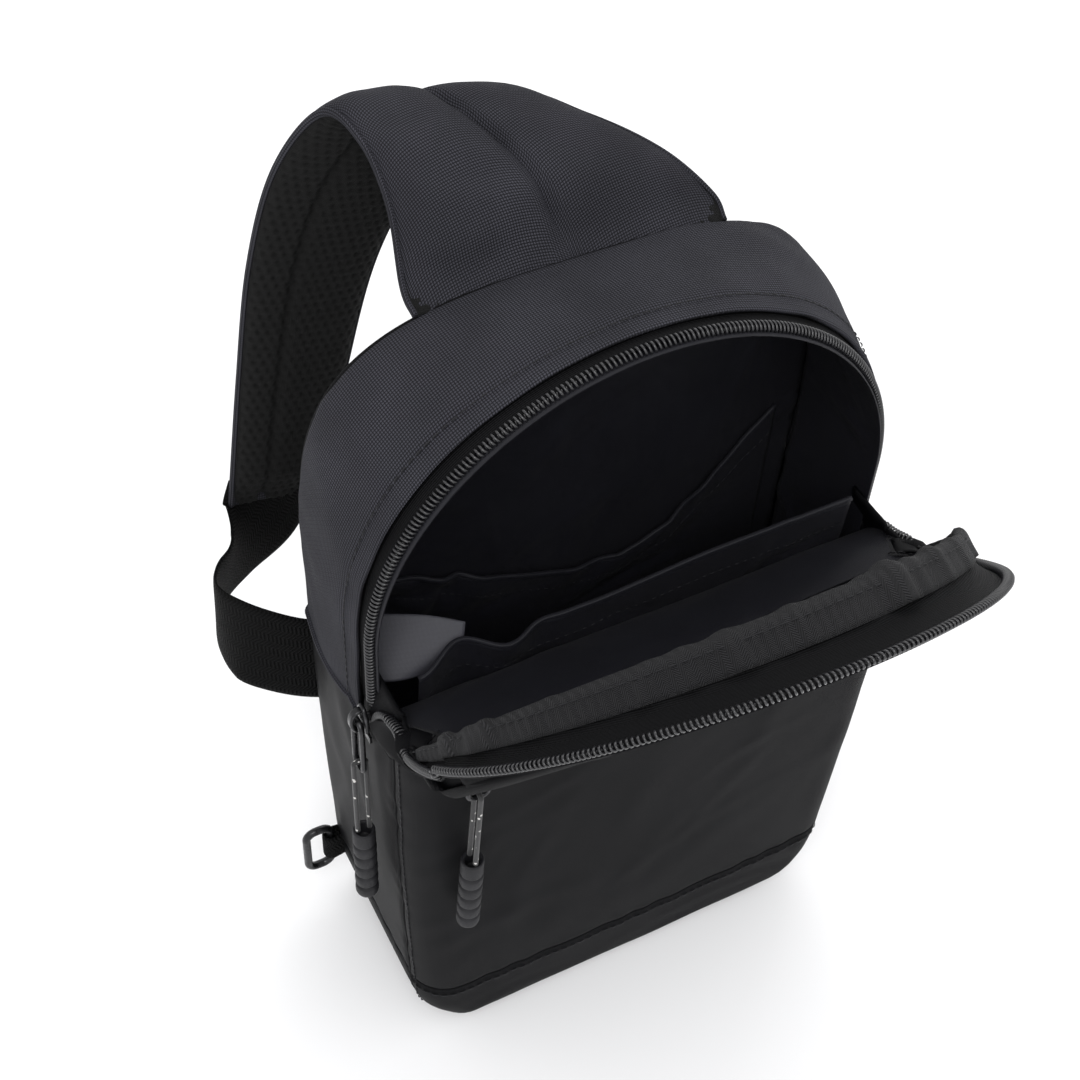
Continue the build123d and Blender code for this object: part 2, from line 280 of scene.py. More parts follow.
def stitches(name, path, out, material, long=2.7, space=0.9, radius=0.22):
    """A row of sewn stitches on a surface. Each stitch is a short bowed thread."""
    path = np.asarray(path, float)
    out = np.broadcast_to(np.asarray(out, float), path.shape)
    along = lengths(path)
    starts = np.arange(space, along[-1] - long, long + space)
    verts = []
    faces = []
    sides = 6
    shape = ((0.0, -0.45, 0.5), (0.18, 0.25, 1.0), (0.5, 0.6, 1.15), (0.82, 0.25, 1.0), (1.0, -0.45, 0.5))
    for start in starts:
        base = len(verts)
        rings = []
        for part, lift, size in shape:
            at = start + part * long
            point = np.array([np.interp(at, along, path[:, k]) for k in range(3)])
            ahead = np.array([np.interp(at + 0.4, along, path[:, k]) for k in range(3)])
            up = unit(np.array([np.interp(at, along, out[:, k]) for k in range(3)]))
            side = unit(np.cross(ahead - point + 1e-6, up))
            turn = np.linspace(0, 2 * math.pi, sides, endpoint=False)
            ring = (point + up * lift * radius * 1.6
                    + (side[None] * np.cos(turn)[:, None] + up[None] * np.sin(turn)[:, None]) * radius * size)
            rings.append(ring)
        verts.extend(np.concatenate(rings).tolist())
        faces.extend(quads(len(shape), sides, True, base, True))
        faces.append(tuple(base + j for j in range(sides)))
        faces.append(tuple(base + (len(shape) - 1) * sides + j for j in range(sides))[::-1])
    return build(name, np.array(verts), faces, material)


def coil(name, path, out, material, pitch=1.6, tall=1.1, wide=1.6, wire=0.42):
    """Zip coil: one nylon wire wound in an oval helix along a path."""
    path = np.asarray(path, float)
    along = lengths(path)
    turns = along[-1] / pitch
    steps = int(turns * 12)
    at = np.linspace(0, along[-1], steps)
    centre = np.stack([np.interp(at, along, path[:, k]) for k in range(3)], axis=1)
    hint = np.broadcast_to(np.asarray(out, float), path.shape)
    hint = np.stack([np.interp(at, along, hint[:, k]) for k in range(3)], axis=1)
    _, up, side = frames_along(centre, hint)
    turn = at / pitch * 2 * math.pi
    helix = centre + up * (np.cos(turn) * tall)[:, None] + side * (np.sin(turn) * wide)[:, None]
    return tube(name, helix, wire, material, up * np.cos(turn)[:, None] + side * np.sin(turn)[:, None], 6)


def soft_folds(a, b, seed, count, span_a, span_b, depth, long, wide, lean=(0.0, math.pi)):
    """Random soft folds over a surface with two coordinates, as a height in millimetres."""
    rng = random.Random(seed)
    height = np.zeros_like(a)
    for _ in range(count):
        ca = rng.uniform(*span_a)
        cb = rng.uniform(*span_b)
        turn = rng.uniform(*lean)
        fold_long = long * rng.uniform(0.6, 1.4)
        fold_wide = wide * rng.uniform(0.6, 1.4)
        tall = depth * rng.uniform(0.4, 1.0)
        along = (a - ca) * math.cos(turn) + (b - cb) * math.sin(turn)
        across = (b - cb) * math.cos(turn) - (a - ca) * math.sin(turn) + 0.15 * along ** 2 / fold_long
        ridge = across / fold_wide
        height += tall * np.exp(-(along / fold_long) ** 2) * (1 - 1.2 * ridge ** 2) * np.exp(-ridge ** 2)
    return height


# ---- materials ----
class Paint:
    """One procedural material on the Principled shader, with short calls for its nodes."""

    def __init__(self, name, roughness, **sockets):
        self.material = bpy.data.materials.new(name)
        self.material.use_nodes = True
        self.tree = self.material.node_tree
        self.shader = self.tree.nodes["Principled BSDF"]
        self.shader.inputs["Roughness"].default_value = roughness
        for socket, value in sockets.items():
            self.shader.inputs[socket.replace("_", " ")].default_value = value

    def put(self, socket, value):
        if isinstance(value, bpy.types.NodeSocket):
            self.tree.links.new(value, socket)
        elif value is not None:
            socket.default_value = value

    def math(self, operation, a, b=None):
        node = self.tree.nodes.new("ShaderNodeMath")
        node.operation = operation
        self.put(node.inputs[0], a)
        self.put(node.inputs[1], b)
        return node.outputs[0]

    def on_cloth(self):
        """Position along the cloth in millimetres, as two sockets."""
        node = self.tree.nodes.new("ShaderNodeUVMap")
        node.uv_map = "cloth"
        split = self.tree.nodes.new("ShaderNodeSeparateXYZ")
        self.put(split.inputs[0], node.outputs[0])
        u, v = (self.math("MULTIPLY", output, 1000.0) for output in split.outputs[:2])
        return u, v

    def noise(self, size_mm, detail=3.0):
        where = self.tree.nodes.new("ShaderNodeTexCoord")
        node = self.tree.nodes.new("ShaderNodeTexNoise")
        self.put(node.inputs["Vector"], where.outputs["Object"])
        node.inputs["Scale"].default_value = 1000.0 / size_mm
        node.inputs["Detail"].default_value = detail
        return node.outputs["Fac"]

    def cells(self, size_mm):
        where = self.tree.nodes.new("ShaderNodeTexCoord")
        node = self.tree.nodes.new("ShaderNodeTexVoronoi")
        self.put(node.inputs["Vector"], where.outputs["Object"])
        node.inputs["Scale"].default_value = 1000.0 / size_mm
        return node.outputs["Distance"]

    def ramp(self, value, low, high, start=0.0, end=1.0):
        """A value mapped smoothly from low..high to start..end."""
        node = self.tree.nodes.new("ShaderNodeMapRange")
        node.interpolation_type = "SMOOTHSTEP"
        self.put(node.inputs["Value"], value)
        for socket, number in zip(node.inputs[1:5], (low, high, start, end)):
            socket.default_value = number
        return node.outputs[0]

    def colour(self, value, dark, light):
        node = self.tree.nodes.new("ShaderNodeMix")
        node.data_type = "RGBA"
        self.put(node.inputs["Factor"], value)
        self.put(node.inputs["A"], (*dark, 1))
        self.put(node.inputs["B"], (*light, 1))
        self.put(self.shader.inputs["Base Color"], node.outputs["Result"])

    def relief(self, height, depth_mm, strength=1.0):
        node = self.tree.nodes.new("ShaderNodeBump")
        node.inputs["Strength"].default_value = strength
        node.inputs["Distance"].default_value = depth_mm * MM
        self.put(node.inputs["Height"], height)
        self.put(self.shader.inputs["Normal"], node.outputs[0])

    def wave(self, value, pitch):
        """0 to 1 and back once in each pitch."""
        turned = self.math("MULTIPLY", value, 2 * math.pi / pitch)
        return self.math("MULTIPLY_ADD", self.math("SINE", turned), 0.5)

    def weave(self, u, v, pitch):
        """Height of a plain weave: warp and weft threads pass over each other in turn."""
        a = self.math("DIVIDE", u, pitch)
        b = self.math("DIVIDE", v, pitch)
        over = self.math("PINGPONG", self.math("ADD", self.math("FLOOR", a), self.math("FLOOR", b)), 1.0)
        warp = self.math("ABSOLUTE", self.math("SINE", self.math("MULTIPLY", a, math.pi)))
        weft = self.math("ABSOLUTE", self.math("SINE", self.math("MULTIPLY", b, math.pi)))
        under = self.math("SUBTRACT", 1.0, over)
        high_warp = self.math("MULTIPLY", self.math("MULTIPLY", warp, over), self.math("POWER", weft, 0.5))
        high_weft = self.math("MULTIPLY", self.math("MULTIPLY", weft, under), self.math("POWER", warp, 0.5))
        return self.math("ADD", high_warp, high_weft)


def with_grain(paint, height, size_mm, share):
    """Adds fibre noise to a weave's height."""
    return paint.math("ADD", height, paint.math("MULTIPLY", paint.noise(size_mm), share))


def oxford_paint():
    p = Paint("oxford_cloth", 0.75, Sheen_Weight=0.0, Sheen_Roughness=0.45, Specular_IOR_Level=0.12)
    u, v = p.on_cloth()
    woven = p.weave(u, v, 0.95)
    height = with_grain(p, woven, 0.5, 0.5)
    worn = p.ramp(p.noise(26.0), 0.3, 0.75, 0.72, 1.0)
    shade = p.math("MULTIPLY", p.ramp(woven, 0.05, 0.95, 0.1, 1.0), worn)
    p.colour(shade, (0.004, 0.004, 0.005), (0.058, 0.058, 0.071))
    p.relief(height, 0.34)
    return p.material


def smooth_paint():
    p = Paint("smooth_cloth", 0.52, Sheen_Weight=0.0, Sheen_Roughness=0.4, Specular_IOR_Level=0.07)
    u, v = p.on_cloth()
    twill = p.wave(p.math("ADD", u, v), 0.62)
    height = with_grain(p, twill, 0.6, 0.6)
    shade = p.math("MULTIPLY", p.ramp(height, 0.1, 1.3, 0.35, 1.0), p.ramp(p.noise(34.0), 0.3, 0.7, 0.7, 1.0))
    p.colour(shade, (0.0010, 0.0010, 0.0013), (0.0042, 0.0042, 0.0052))
    p.relief(height, 0.09)
    return p.material


def lining_paint():
    p = Paint("lining_cloth", 0.45, Sheen_Weight=0.02, Specular_IOR_Level=0.22)
    u, v = p.on_cloth()
    woven = p.weave(u, v, 0.42)
    height = with_grain(p, woven, 0.9, 0.5)
    shade = p.math("MULTIPLY", p.ramp(height, 0.1, 1.3, 0.5, 1.0), p.ramp(p.noise(30.0), 0.3, 0.7, 0.75, 1.0))
    p.colour(shade, (0.004, 0.004, 0.0055), (0.012, 0.012, 0.017))
    p.relief(height, 0.06)
    return p.material


def facing_paint():
    """Herringbone tape: slanted threads that turn back every few millimetres."""
    p = Paint("facing_tape", 0.7, Sheen_Weight=0.03, Sheen_Roughness=0.5, Specular_IOR_Level=0.2)
    u, v = p.on_cloth()
    zigzag = p.math("PINGPONG", v, 1.7)
    slanted = p.math("ADD", u, p.math("MULTIPLY", zigzag, 1.3))
    ribs = p.wave(slanted, 0.85)
    height = with_grain(p, ribs, 0.5, 0.4)
    p.colour(p.ramp(height, 0.1, 1.2), (0.0015, 0.0015, 0.002), (0.022, 0.022, 0.0245))
    p.relief(height, 0.28)
    return p.material


def tape_paint():
    p = Paint("zip_tape", 0.7, Sheen_Weight=0.0, Specular_IOR_Level=0.1)
    u, v = p.on_cloth()
    ribs = p.math("MULTIPLY", p.wave(u, 0.7), p.ramp(p.wave(v, 1.5), 0.0, 0.5, 0.5, 1.0))
    height = with_grain(p, ribs, 0.5, 0.4)
    # Painted shade, in part: the tape is dark of itself, and its colour is darkened further so that under the
    # turned-out rim it stands in for the shadow below the facing's roll.
    p.colour(p.ramp(height, 0.1, 1.1), (0.001, 0.001, 0.0012), (0.0065, 0.0065, 0.0075))
    p.relief(height, 0.2)
    return p.material


def webbing_paint():
    """Heavy webbing: ribs across the band, with a herringbone down its middle."""
    p = Paint("webbing", 0.7, Sheen_Weight=0.0, Sheen_Roughness=0.4, Specular_IOR_Level=0.07)
    u, v = p.on_cloth()
    slanted = p.math("ADD", u, p.math("MULTIPLY", p.math("PINGPONG", v, 3.1), 0.55))
    ribs = p.wave(slanted, 1.5)
    ends = p.wave(v, 0.8)
    height = with_grain(p, p.math("MULTIPLY", ribs, p.ramp(ends, 0.0, 0.6, 0.6, 1.0)), 0.5, 0.3)
    p.colour(p.ramp(height, 0.1, 1.1), (0.0012, 0.0012, 0.0012), (0.0055, 0.0055, 0.0058))
    p.relief(height, 0.35)
    return p.material


def spacer_paint():
    p = Paint("spacer_mesh", 0.8, Sheen_Weight=0.02, Sheen_Roughness=0.6, Specular_IOR_Level=0.12)
    u, v = p.on_cloth()
    threads = p.weave(u, v, 0.6)
    height = with_grain(p, threads, 0.7, 0.6)
    p.colour(p.ramp(height, 0.1, 1.3), (0.002, 0.002, 0.002), (0.012, 0.012, 0.012))
    p.relief(height, 0.2)
    return p.material


def label_paint():
    p = Paint("label_cloth", 0.5, Sheen_Weight=0.02)
    u, v = p.on_cloth()
    woven = with_grain(p, p.weave(u, v, 0.4), 0.8, 0.4)
    p.colour(p.ramp(woven, 0.1, 1.2), (0.030, 0.030, 0.038), (0.058, 0.058, 0.072))
    p.relief(woven, 0.05)
    return p.material


def coil_paint():
    p = Paint("zip_coil", 0.28, Coat_Weight=0.3, Coat_Roughness=0.15, Specular_IOR_Level=0.55)
    grain = p.noise(1.2)
    p.colour(grain, (0.006, 0.006, 0.007), (0.017, 0.017, 0.02))
    p.relief(grain, 0.03)
    return p.material


def metal_paint():
    """Black lacquered metal, a little brighter where the lacquer is rubbed."""
    p = Paint("black_metal", 0.33, Metallic=0.75, Coat_Weight=0.25, Coat_Roughness=0.2)
    rubbed = p.ramp(p.noise(3.0, 6.0), 0.55, 0.8)
    p.colour(rubbed, (0.018, 0.018, 0.02), (0.075, 0.075, 0.08))
    p.put(p.shader.inputs["Roughness"], p.ramp(p.noise(1.4), 0.3, 0.7, 0.26, 0.42))
    p.relief(p.noise(0.8), 0.03)
    return p.material


def moulded_paint(name, roughness, dark, light):
    """Moulded plastic or rubber with a fine eroded grain."""
    p = Paint(name, roughness, Specular_IOR_Level=0.3)
    grain = p.noise(0.45, 4.0)
    p.colour(p.ramp(p.noise(7.0), 0.3, 0.7), dark, light)
    p.put(p.shader.inputs["Roughness"], p.ramp(grain, 0.3, 0.7, roughness - 0.07, roughness + 0.07))
    p.relief(grain, 0.05)
    return p.material


def cord_paint():
    """Thin black cord with white flecks woven in."""
    p = Paint("fleck_cord", 0.6, Sheen_Weight=0.2)
    flecks = p.ramp(p.cells(2.6), 0.17, 0.23, 1.0, 0.0)
    p.colour(flecks, (0.008, 0.008, 0.009), (0.55, 0.54, 0.52))
    p.relief(p.noise(0.5), 0.12)
    return p.material


def thread_paint():
    p = Paint("thread", 0.6, Sheen_Weight=0.03, Specular_IOR_Level=0.25)
    twist = p.noise(0.35)
    p.colour(twist, (0.004, 0.004, 0.005), (0.016, 0.016, 0.019))
    p.relief(twist, 0.08)
    return p.material


def board_paint():
    p = Paint("board", 0.6)
    grain = p.noise(2.0, 5.0)
    p.colour(grain, (0.02, 0.02, 0.022), (0.04, 0.04, 0.042))
    p.relief(grain, 0.1)
    return p.material


OXFORD = oxford_paint()
SMOOTH = smooth_paint()
LINING = lining_paint()
FACING = facing_paint()
TAPE = tape_paint()
WEBBING = webbing_paint()
SPACER = spacer_paint()
LABEL = label_paint()
COIL = coil_paint()
METAL = metal_paint()
RUBBER = moulded_paint("pull_rubber", 0.58, (0.006, 0.006, 0.0075), (0.012, 0.012, 0.0145))
PLASTIC = moulded_paint("buckle_plastic", 0.42, (0.010, 0.010, 0.011), (0.018, 0.018, 0.020))
CORD = cord_paint()
THREAD = thread_paint()
BOARD = board_paint()


# ---- placing ----
def place(piece, body, slot, *nodes):
    """The piece rides on a body and stands for CAD nodes, which it hides. Its slot is not used."""
    if nodes:
        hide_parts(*nodes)
    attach(piece, body)
    return piece


def bend(piece, body_a, body_b, weights, slot, *nodes):
    """Bakes the piece's placement into its mesh and hides the CAD nodes it stands for. Its two bodies,
    weights and slot are not used.
    """
    if nodes:
        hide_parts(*nodes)
    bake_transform(piece)
    return piece


# ---- the body's outline ----
def half_width(z):
    """Half the bag's width at a height, with the rounded lower corners."""
    z = np.asarray(z, float)
    side = HALF - (HALF - BASE_HALF) * (np.clip(CENTRE - z, 0, None) / CENTRE) ** 2
    low = np.clip(BASE_CORNER - z, 0, BASE_CORNER)
    return side - BASE_CORNER + np.sqrt(np.maximum(BASE_CORNER ** 2 - low ** 2, 0.0))


def front_y(z):
    """The front face at a height, rounded under at the base."""
    low = np.clip(FRONT_EDGE - np.asarray(z, float), 0, FRONT_EDGE)
    return FRONT + FRONT_EDGE - np.sqrt(FRONT_EDGE ** 2 - low ** 2)


def arch_point(length, radius=HALF):
    """A point and its outward direction on the arch; length runs from the top, + to the right."""
    length = np.asarray(length, float)
    turn = np.clip(length, -QUARTER, QUARTER) / HALF
    drop = np.clip(np.abs(length) - QUARTER, 0, None)
    x = radius * np.sin(turn)
    z = CENTRE + radius * np.cos(turn) - drop
    return x, z, np.sin(turn), np.cos(turn)


# ---- the lower body ----
def body_wall(z, y_start, y_end_seam, count_side, count_corner, count_front):
    """One level of the outer wall, from the back left corner round the front to the back right."""
    half = half_width(z)
    front = front_y(z)
    side = np.linspace(y_start, CORNER_SEAM, count_side)
    turn = np.linspace(0, math.pi / 2, count_corner + 2)[1:-1]
    reach = CORNER_SEAM - front
    left = [(-half, y) for y in side]
    corner = [(-half + reach * (1 - math.cos(t)), CORNER_SEAM - reach * math.sin(t)) for t in turn]
    across = np.linspace(-half + reach, half - reach, count_front)
    middle = [(x, front) for x in across]
    wall = left + corner + middle
    wall += [(-x, y) for x, y in corner[::-1]] + [(-x, y) for x, y in left[::-1]]
    return np.array([(x, y, z) for x, y in wall])


def front_crown(x):
    """How far the full front pocket bulges out."""
    return 2.4 * np.cos(np.clip(x / HALF, -1, 1) * math.pi / 2)


SIDE_STEPS = 30
CORNER_STEPS = 9
FRONT_STEPS = 84


def body_levels():
    levels = np.concatenate([np.array([0.0, 0.4, 1.5, 3.0, 5.0, 7.5, 10.0, 13.0]),
                             np.arange(15.5, FLAP_FOOT - 1, 2.3), [FLAP_FOOT]])
    levels = np.sort(np.concatenate([levels, [BAND_TOP, SEAM_TOP, PANEL_TOP]]))
    return levels


def body_grid():
    """The whole outer wall below the flap, with its bulge, folds and sunk seams."""
    levels = body_levels()
    rows = [body_wall(z, BACK - 2.0, CORNER_SEAM, SIDE_STEPS, CORNER_STEPS, FRONT_STEPS) for z in levels]
    grid = np.array(rows)
    normal = -normals_of(grid)
    around = np.cumsum(np.linalg.norm(np.diff(grid, axis=1, prepend=grid[:, :1]), axis=2), axis=1)
    around -= around[:, around.shape[1] // 2][:, None]
    z = grid[:, :, 2]
    x = grid[:, :, 0]
    y = grid[:, :, 1]
    on_front = smooth((-28.0 - y) / 12.0)
    free = smooth((z - BAND_TOP) / 26.0)
    height = front_crown(x) * on_front * smooth(z / 60.0)
    height += soft_folds(around, z, 11, 34, (-95, 95), (45, 190), 0.4, 34, 9.0, (0.1, 1.5)) * on_front * free
    height += soft_folds(around, z, 12, 20, (-160, -95), (20, 185), 0.6, 30, 9.0, (0.9, 2.2)) * free
    height += soft_folds(around, z, 13, 20, (95, 160), (20, 185), 0.6, 30, 9.0, (0.9, 2.2)) * free
    height += soft_folds(around, z, 14, 12, (-90, 90), (6, 30), 0.35, 24, 5.0, (-0.3, 0.3))
    pucker = 0.28 * np.sin(around / 2.6 + np.sin(around / 9.0) * 2) * np.exp(-((z - BAND_TOP) / 5.0) ** 2)
    height += pucker
    height -= 1.1 * np.exp(-((z - BAND_TOP) / 1.3) ** 2)
    seam_gap = np.abs(y - CORNER_SEAM) + 40.0 * (np.abs(x) < half_width(z) - 8)
    height -= 1.0 * np.exp(-(seam_gap / 1.5) ** 2) * smooth((z - 4) / 8)
    height += 0.25 * np.sin(z / 2.9 + np.sin(z / 8.0) * 2) * np.exp(-(seam_gap / 5.0) ** 2) * free
    height -= 4.0 * smooth((z - HINGE_Z + 2) / 22.0) * (1 - on_front)
    return grid + normal * height[:, :, None], levels


BODY, LEVELS = body_grid()
LEFT_SEAM = SIDE_STEPS - 1
RIGHT_SEAM = BODY.shape[1] - SIDE_STEPS


def rows_between(low, high):
    found = np.where((LEVELS >= low - 1e-6) & (LEVELS <= high + 1e-6))[0]
    return slice(found[0], found[-1] + 1)


def make_lower_body():
    """Front panel, sides and base band, cut from one grid so that their seams meet."""
    band = rows_between(0, BAND_TOP)
    panel = rows_between(BAND_TOP, PANEL_TOP)
    side = rows_between(BAND_TOP, SEAM_TOP)
    front = slice(LEFT_SEAM, RIGHT_SEAM + 1)
    place(cloth("front_panel_cloth", BODY[panel, front][:, ::-1], SMOOTH), "root", "smooth_cloth",
          "front_pocket_panel")
    place(cloth("front_band_cloth", BODY[band, front][:, ::-1], SMOOTH), "root", "smooth_cloth",
          "front_base_band")
    for name, columns in (("left", slice(0, LEFT_SEAM + 1)), ("right", slice(RIGHT_SEAM, None))):
        place(cloth("side_cloth_" + name, BODY[side, columns][:, ::-1], SMOOTH), "root", "smooth_cloth",
              "side_panel_" + name)
        place(cloth("base_band_" + name, BODY[band, columns][:, ::-1], SMOOTH), "root", "smooth_cloth")
    top = rows_between(SEAM_TOP, FLAP_FOOT)
    above = rows_between(PANEL_TOP, FLAP_FOOT)
    y = BODY[0, :, 1]
    x = BODY[len(BODY) // 2, :, 0]
    hidden = HINGE_Y + 6.0
    ends = {"left": (np.where((x < 0) & (y < hidden))[0][0], np.where(x < -ZIP_HALF - 0.5)[0][-1]),
            "right": (np.where(x > ZIP_HALF + 0.5)[0][0], np.where((x > 0) & (y < hidden))[0][-1])}
    for name, (first, last) in ends.items():
        side_top = slice(first, LEFT_SEAM + 1) if name == "left" else slice(RIGHT_SEAM, last + 1)
        corner = slice(LEFT_SEAM, last + 1) if name == "left" else slice(first, RIGHT_SEAM + 1)
        for part, rows, columns in (("side_top_", top, side_top), ("front_corner_", above, corner)):
            place(cloth(part + name, BODY[rows, columns][:, ::-1], SMOOTH), "root", "smooth_cloth")
    make_base()
    make_body_seams(band, panel)


def make_base():
    """The flat bottom: a sheet inside the lowest level, with the sewn line of its board."""
    low = BODY[0]
    middle = len(low) // 2
    depths = np.linspace(float(low[middle, 1]) + 0.4, BACK - 2.0, 60)
    left_edge = np.interp(depths, low[:middle + 1, 1][::-1], low[:middle + 1, 0][::-1])
    across = np.linspace(-1, 1, 44)[None, :]
    x = (np.abs(left_edge)[:, None] - 0.4) * across
    y = np.broadcast_to(depths[:, None], x.shape)
    sewn = np.exp(-((np.abs(x) - 52) / 1.2) ** 2)
    grid = np.stack([x, y, 0.15 + 0.3 * sewn], axis=2)
    place(cloth("base_cloth", grid, SMOOTH, 1.0), "root", "smooth_cloth", "base_panel")


def make_body_seams(band, panel):
    row = band.stop - 1
    normal = -normals_of(BODY)
    place(tube("band_seam_cord", BODY[row, 3:-3] + normal[row, 3:-3] * 0.3, 0.75, SMOOTH, (0, 0, 1.0), 8),
          "root", "smooth_cloth")
    front = slice(LEFT_SEAM, RIGHT_SEAM + 1)
    line = BODY[row - 2, front] + normal[row - 2, front] * 0.15
    place(stitches("band_stitches", line, normal[row - 2, front], THREAD), "root", "smooth_cloth")
    for name, column, ahead in (("left", LEFT_SEAM, 2), ("right", RIGHT_SEAM, -2)):
        rows = slice(6, panel.stop)
        place(tube("corner_seam_" + name, BODY[rows, column] + normal[rows, column] * 0.25, 0.7, SMOOTH,
                   (0, -1.0, 0.1), 8), "root", "smooth_cloth")
        line = BODY[rows, column + ahead] + normal[rows, column + ahead] * 0.15
        place(stitches("corner_stitches_" + name, line, normal[rows, column + ahead], THREAD), "root",
              "smooth_cloth")


# ---- the upper gusset, back edge and back panel ----
def back_outline(turn, inset=0.0):
    """The squarer arch of the back edge, by its angle from the top."""
    top = STRAP_Z - CENTRE + 1.0
    power = 3.3
    sine = np.abs(np.sin(turn)) / HALF
    cosine = np.abs(np.cos(turn)) / top
    radius = (sine ** power + cosine ** power) ** (-1 / power) - inset
    return radius * np.sin(turn), CENTRE + radius * np.cos(turn)


def gusset_grid(steps_along, depths, inset, low_z, crown):
    """Rows run front to back, columns from the left leg over the arch to the right leg."""
    leg = CENTRE - low_z
    along = np.linspace(-QUARTER - leg, QUARTER + leg, steps_along)
    x, z, out_x, out_z = arch_point(along, HALF - inset)
    turn = np.clip(along, -QUARTER, QUARTER) / HALF
    back_x, back_z = back_outline(turn, inset)
    drop = np.clip(np.abs(along) - QUARTER, 0, None)
    back_z = back_z - drop
    rows = []
    for y in depths:
        t = (y - HINGE_Y) / (BACK - HINGE_Y)
        shape = smooth(t) * 0.35 + t * 0.65
        bulge = crown * math.sin(math.pi * min(max(t, 0), 1))
        rows.append(np.stack([x * (1 - shape) + back_x * shape + out_x * bulge,
                              np.full_like(x, y),
                              z * (1 - shape) + back_z * shape + out_z * bulge], axis=1))
    return np.array(rows), along


def make_gusset():
    """The upper gusset, from the main zip back over the arch, with its rolled back edge."""
    roll_radius = 4.0
    back_start = BACK - roll_radius
    depths = np.concatenate([[-5.6, -5.0, -4.0], np.linspace(-2.5, back_start, 34)])
    grid, along = gusset_grid(GUSSET_COLUMNS, depths, 0.0, SEAM_TOP, GUSSET_CROWN)
    edge, _ = gusset_grid(GUSSET_COLUMNS, [back_start], 0.0, SEAM_TOP, GUSSET_CROWN)
    above = np.clip(edge[0, :, 2] - CENTRE, 0, None)
    centre_way = unit(np.stack([edge[0, :, 0] * 0.9, np.zeros(GUSSET_COLUMNS), above], axis=1))
    roll = []
    for turn in np.linspace(0.25, 1.5, 6):
        inwards = centre_way * (roll_radius * (math.cos(turn) - 1))
        roll.append(grid[-1] + inwards + np.array([0, roll_radius * math.sin(turn), 0]))
    grid = np.concatenate([grid, np.array(roll)])
    normal = arch_normals(grid)
    a = np.broadcast_to(along, grid.shape[:2])
    b = grid[:, :, 1]
    height = soft_folds(a, b, 21, 30, (-185, 185), (0, 40), 0.55, 30, 9.0, (0.0, math.pi))
    height += 0.5 * np.exp(-((b + 4.4) / 1.0) ** 2)
    height -= 0.5 * np.exp(-((b - 1.2) / 1.3) ** 2) * (b > -4)
    grid = grid + normal * height[:, :, None]
    piece = cloth("gusset_cloth", grid[::-1], OXFORD, 1.6)
    place(piece, "root", "oxford_cloth", "upper_gusset")
    line, _ = gusset_grid(GUSSET_COLUMNS, [1.2], -0.35, SEAM_TOP + 2, GUSSET_CROWN)
    out = normal[6]
    place(stitches("gusset_stitches", line[0], out, THREAD), "root", "oxford_cloth")
    for name, columns in (("left", 0), ("right", -1)):
        path = grid[2:-2, columns] + np.array([(-0.4 if name == "left" else 0.4), 0, 0.3])
        place(tube("side_seam_" + name, path, 0.8, OXFORD, (0, 0, 1.0), 8), "root", "oxford_cloth")


def back_shape(inset):
    """The closed outline of the back, from the bottom middle round by the left, as x and z."""
    points = []
    for z in np.linspace(inset, CENTRE, 70):
        points.append((-(half_width(z) - inset), z))
    for turn in np.linspace(-math.pi / 2, 0, 60)[1:]:
        x, z = back_outline(np.array(turn), inset)
        points.append((float(x), float(z)))
    left = np.array(points)
    right = left[::-1][1:] * np.array([-1, 1])
    return np.concatenate([left, right])


def make_back():
    """The padded back: two raised cushions and a sunk channel, under spacer mesh."""
    outline = resample(np.concatenate([[[0, 1.5]], back_shape(2.2), [[0, 1.5]]]), 260)
    centre = np.array([0.0, 158.0])
    ring_count = 74
    flat = np.array([centre + (outline - centre) * t for t in np.linspace(0.003, 1.0, ring_count)])
    x = flat[:, :, 0]
    z = flat[:, :, 1]
    edge = 1 - np.linspace(0, 1, ring_count)[:, None] * np.ones((1, len(outline)))
    rise = 3.0 * smooth(edge / 0.12)
    channel = np.exp(-(x / 5.0) ** 2) * smooth((z - 30) / 40) * smooth((280 - z) / 40)
    cross = np.exp(-((z - 112 + np.abs(x) * 0.28) / 4.5) ** 2)
    cross += np.exp(-((z - 205 + np.abs(x) * 0.28) / 4.5) ** 2)
    rise = rise * (1 - 0.75 * np.clip(channel + cross, 0, 1))
    rows = np.where(np.mod(np.floor(z / 2.6), 2) > 0, x / 3.0 + 0.5, x / 3.0)
    hole = (np.mod(rows, 1.0) - 0.5) ** 2 * 9 + (np.mod(z / 2.6, 1.0) - 0.5) ** 2 * 6.76
    rise -= 0.45 * np.exp(-hole / 0.55) * smooth(edge / 0.05)
    grid = np.stack([x, BACK - 1.2 + rise, z], axis=2)
    piece = cloth("back_pad", grid, SPACER, 1.6)
    place(piece, "root", "spacer_mesh", "back_panel_cover", "back_panel_foam")
    rim = np.stack([outline[:, 0], np.full(len(outline), BACK - 0.6), outline[:, 1]], axis=1)
    place(tube("back_binding", rim[4:-4], 1.3, TAPE, (0, 1.0, 0), 10), "root", "zip_tape")


# ---- the main zip on the body ----
def make_body_zip():
    """The body's half of the main zip: tape and coil round the opening."""
    depths = np.linspace(HINGE_Y + 0.9, -4.4, 7)
    grid, along = gusset_grid(ZIP_COLUMNS, depths, 0.7, HINGE_Z + 2, 0.0)
    place(cloth("body_tape", grid[::-1], TAPE, TAPE_THICK), "root", "zip_tape", "body_zip_tape")
    line, _ = gusset_grid(ZIP_COLUMNS, [HINGE_Y + 0.4], 1.4, HINGE_Z + 4, 0.0)
    x, z, out_x, out_z = arch_point(along, HALF)
    out = np.stack([out_x, np.full_like(x, -0.5), out_z], axis=1)
    place(coil("body_coil", line[0], out, COIL), "root", "zip_coil", "body_zip_coil")


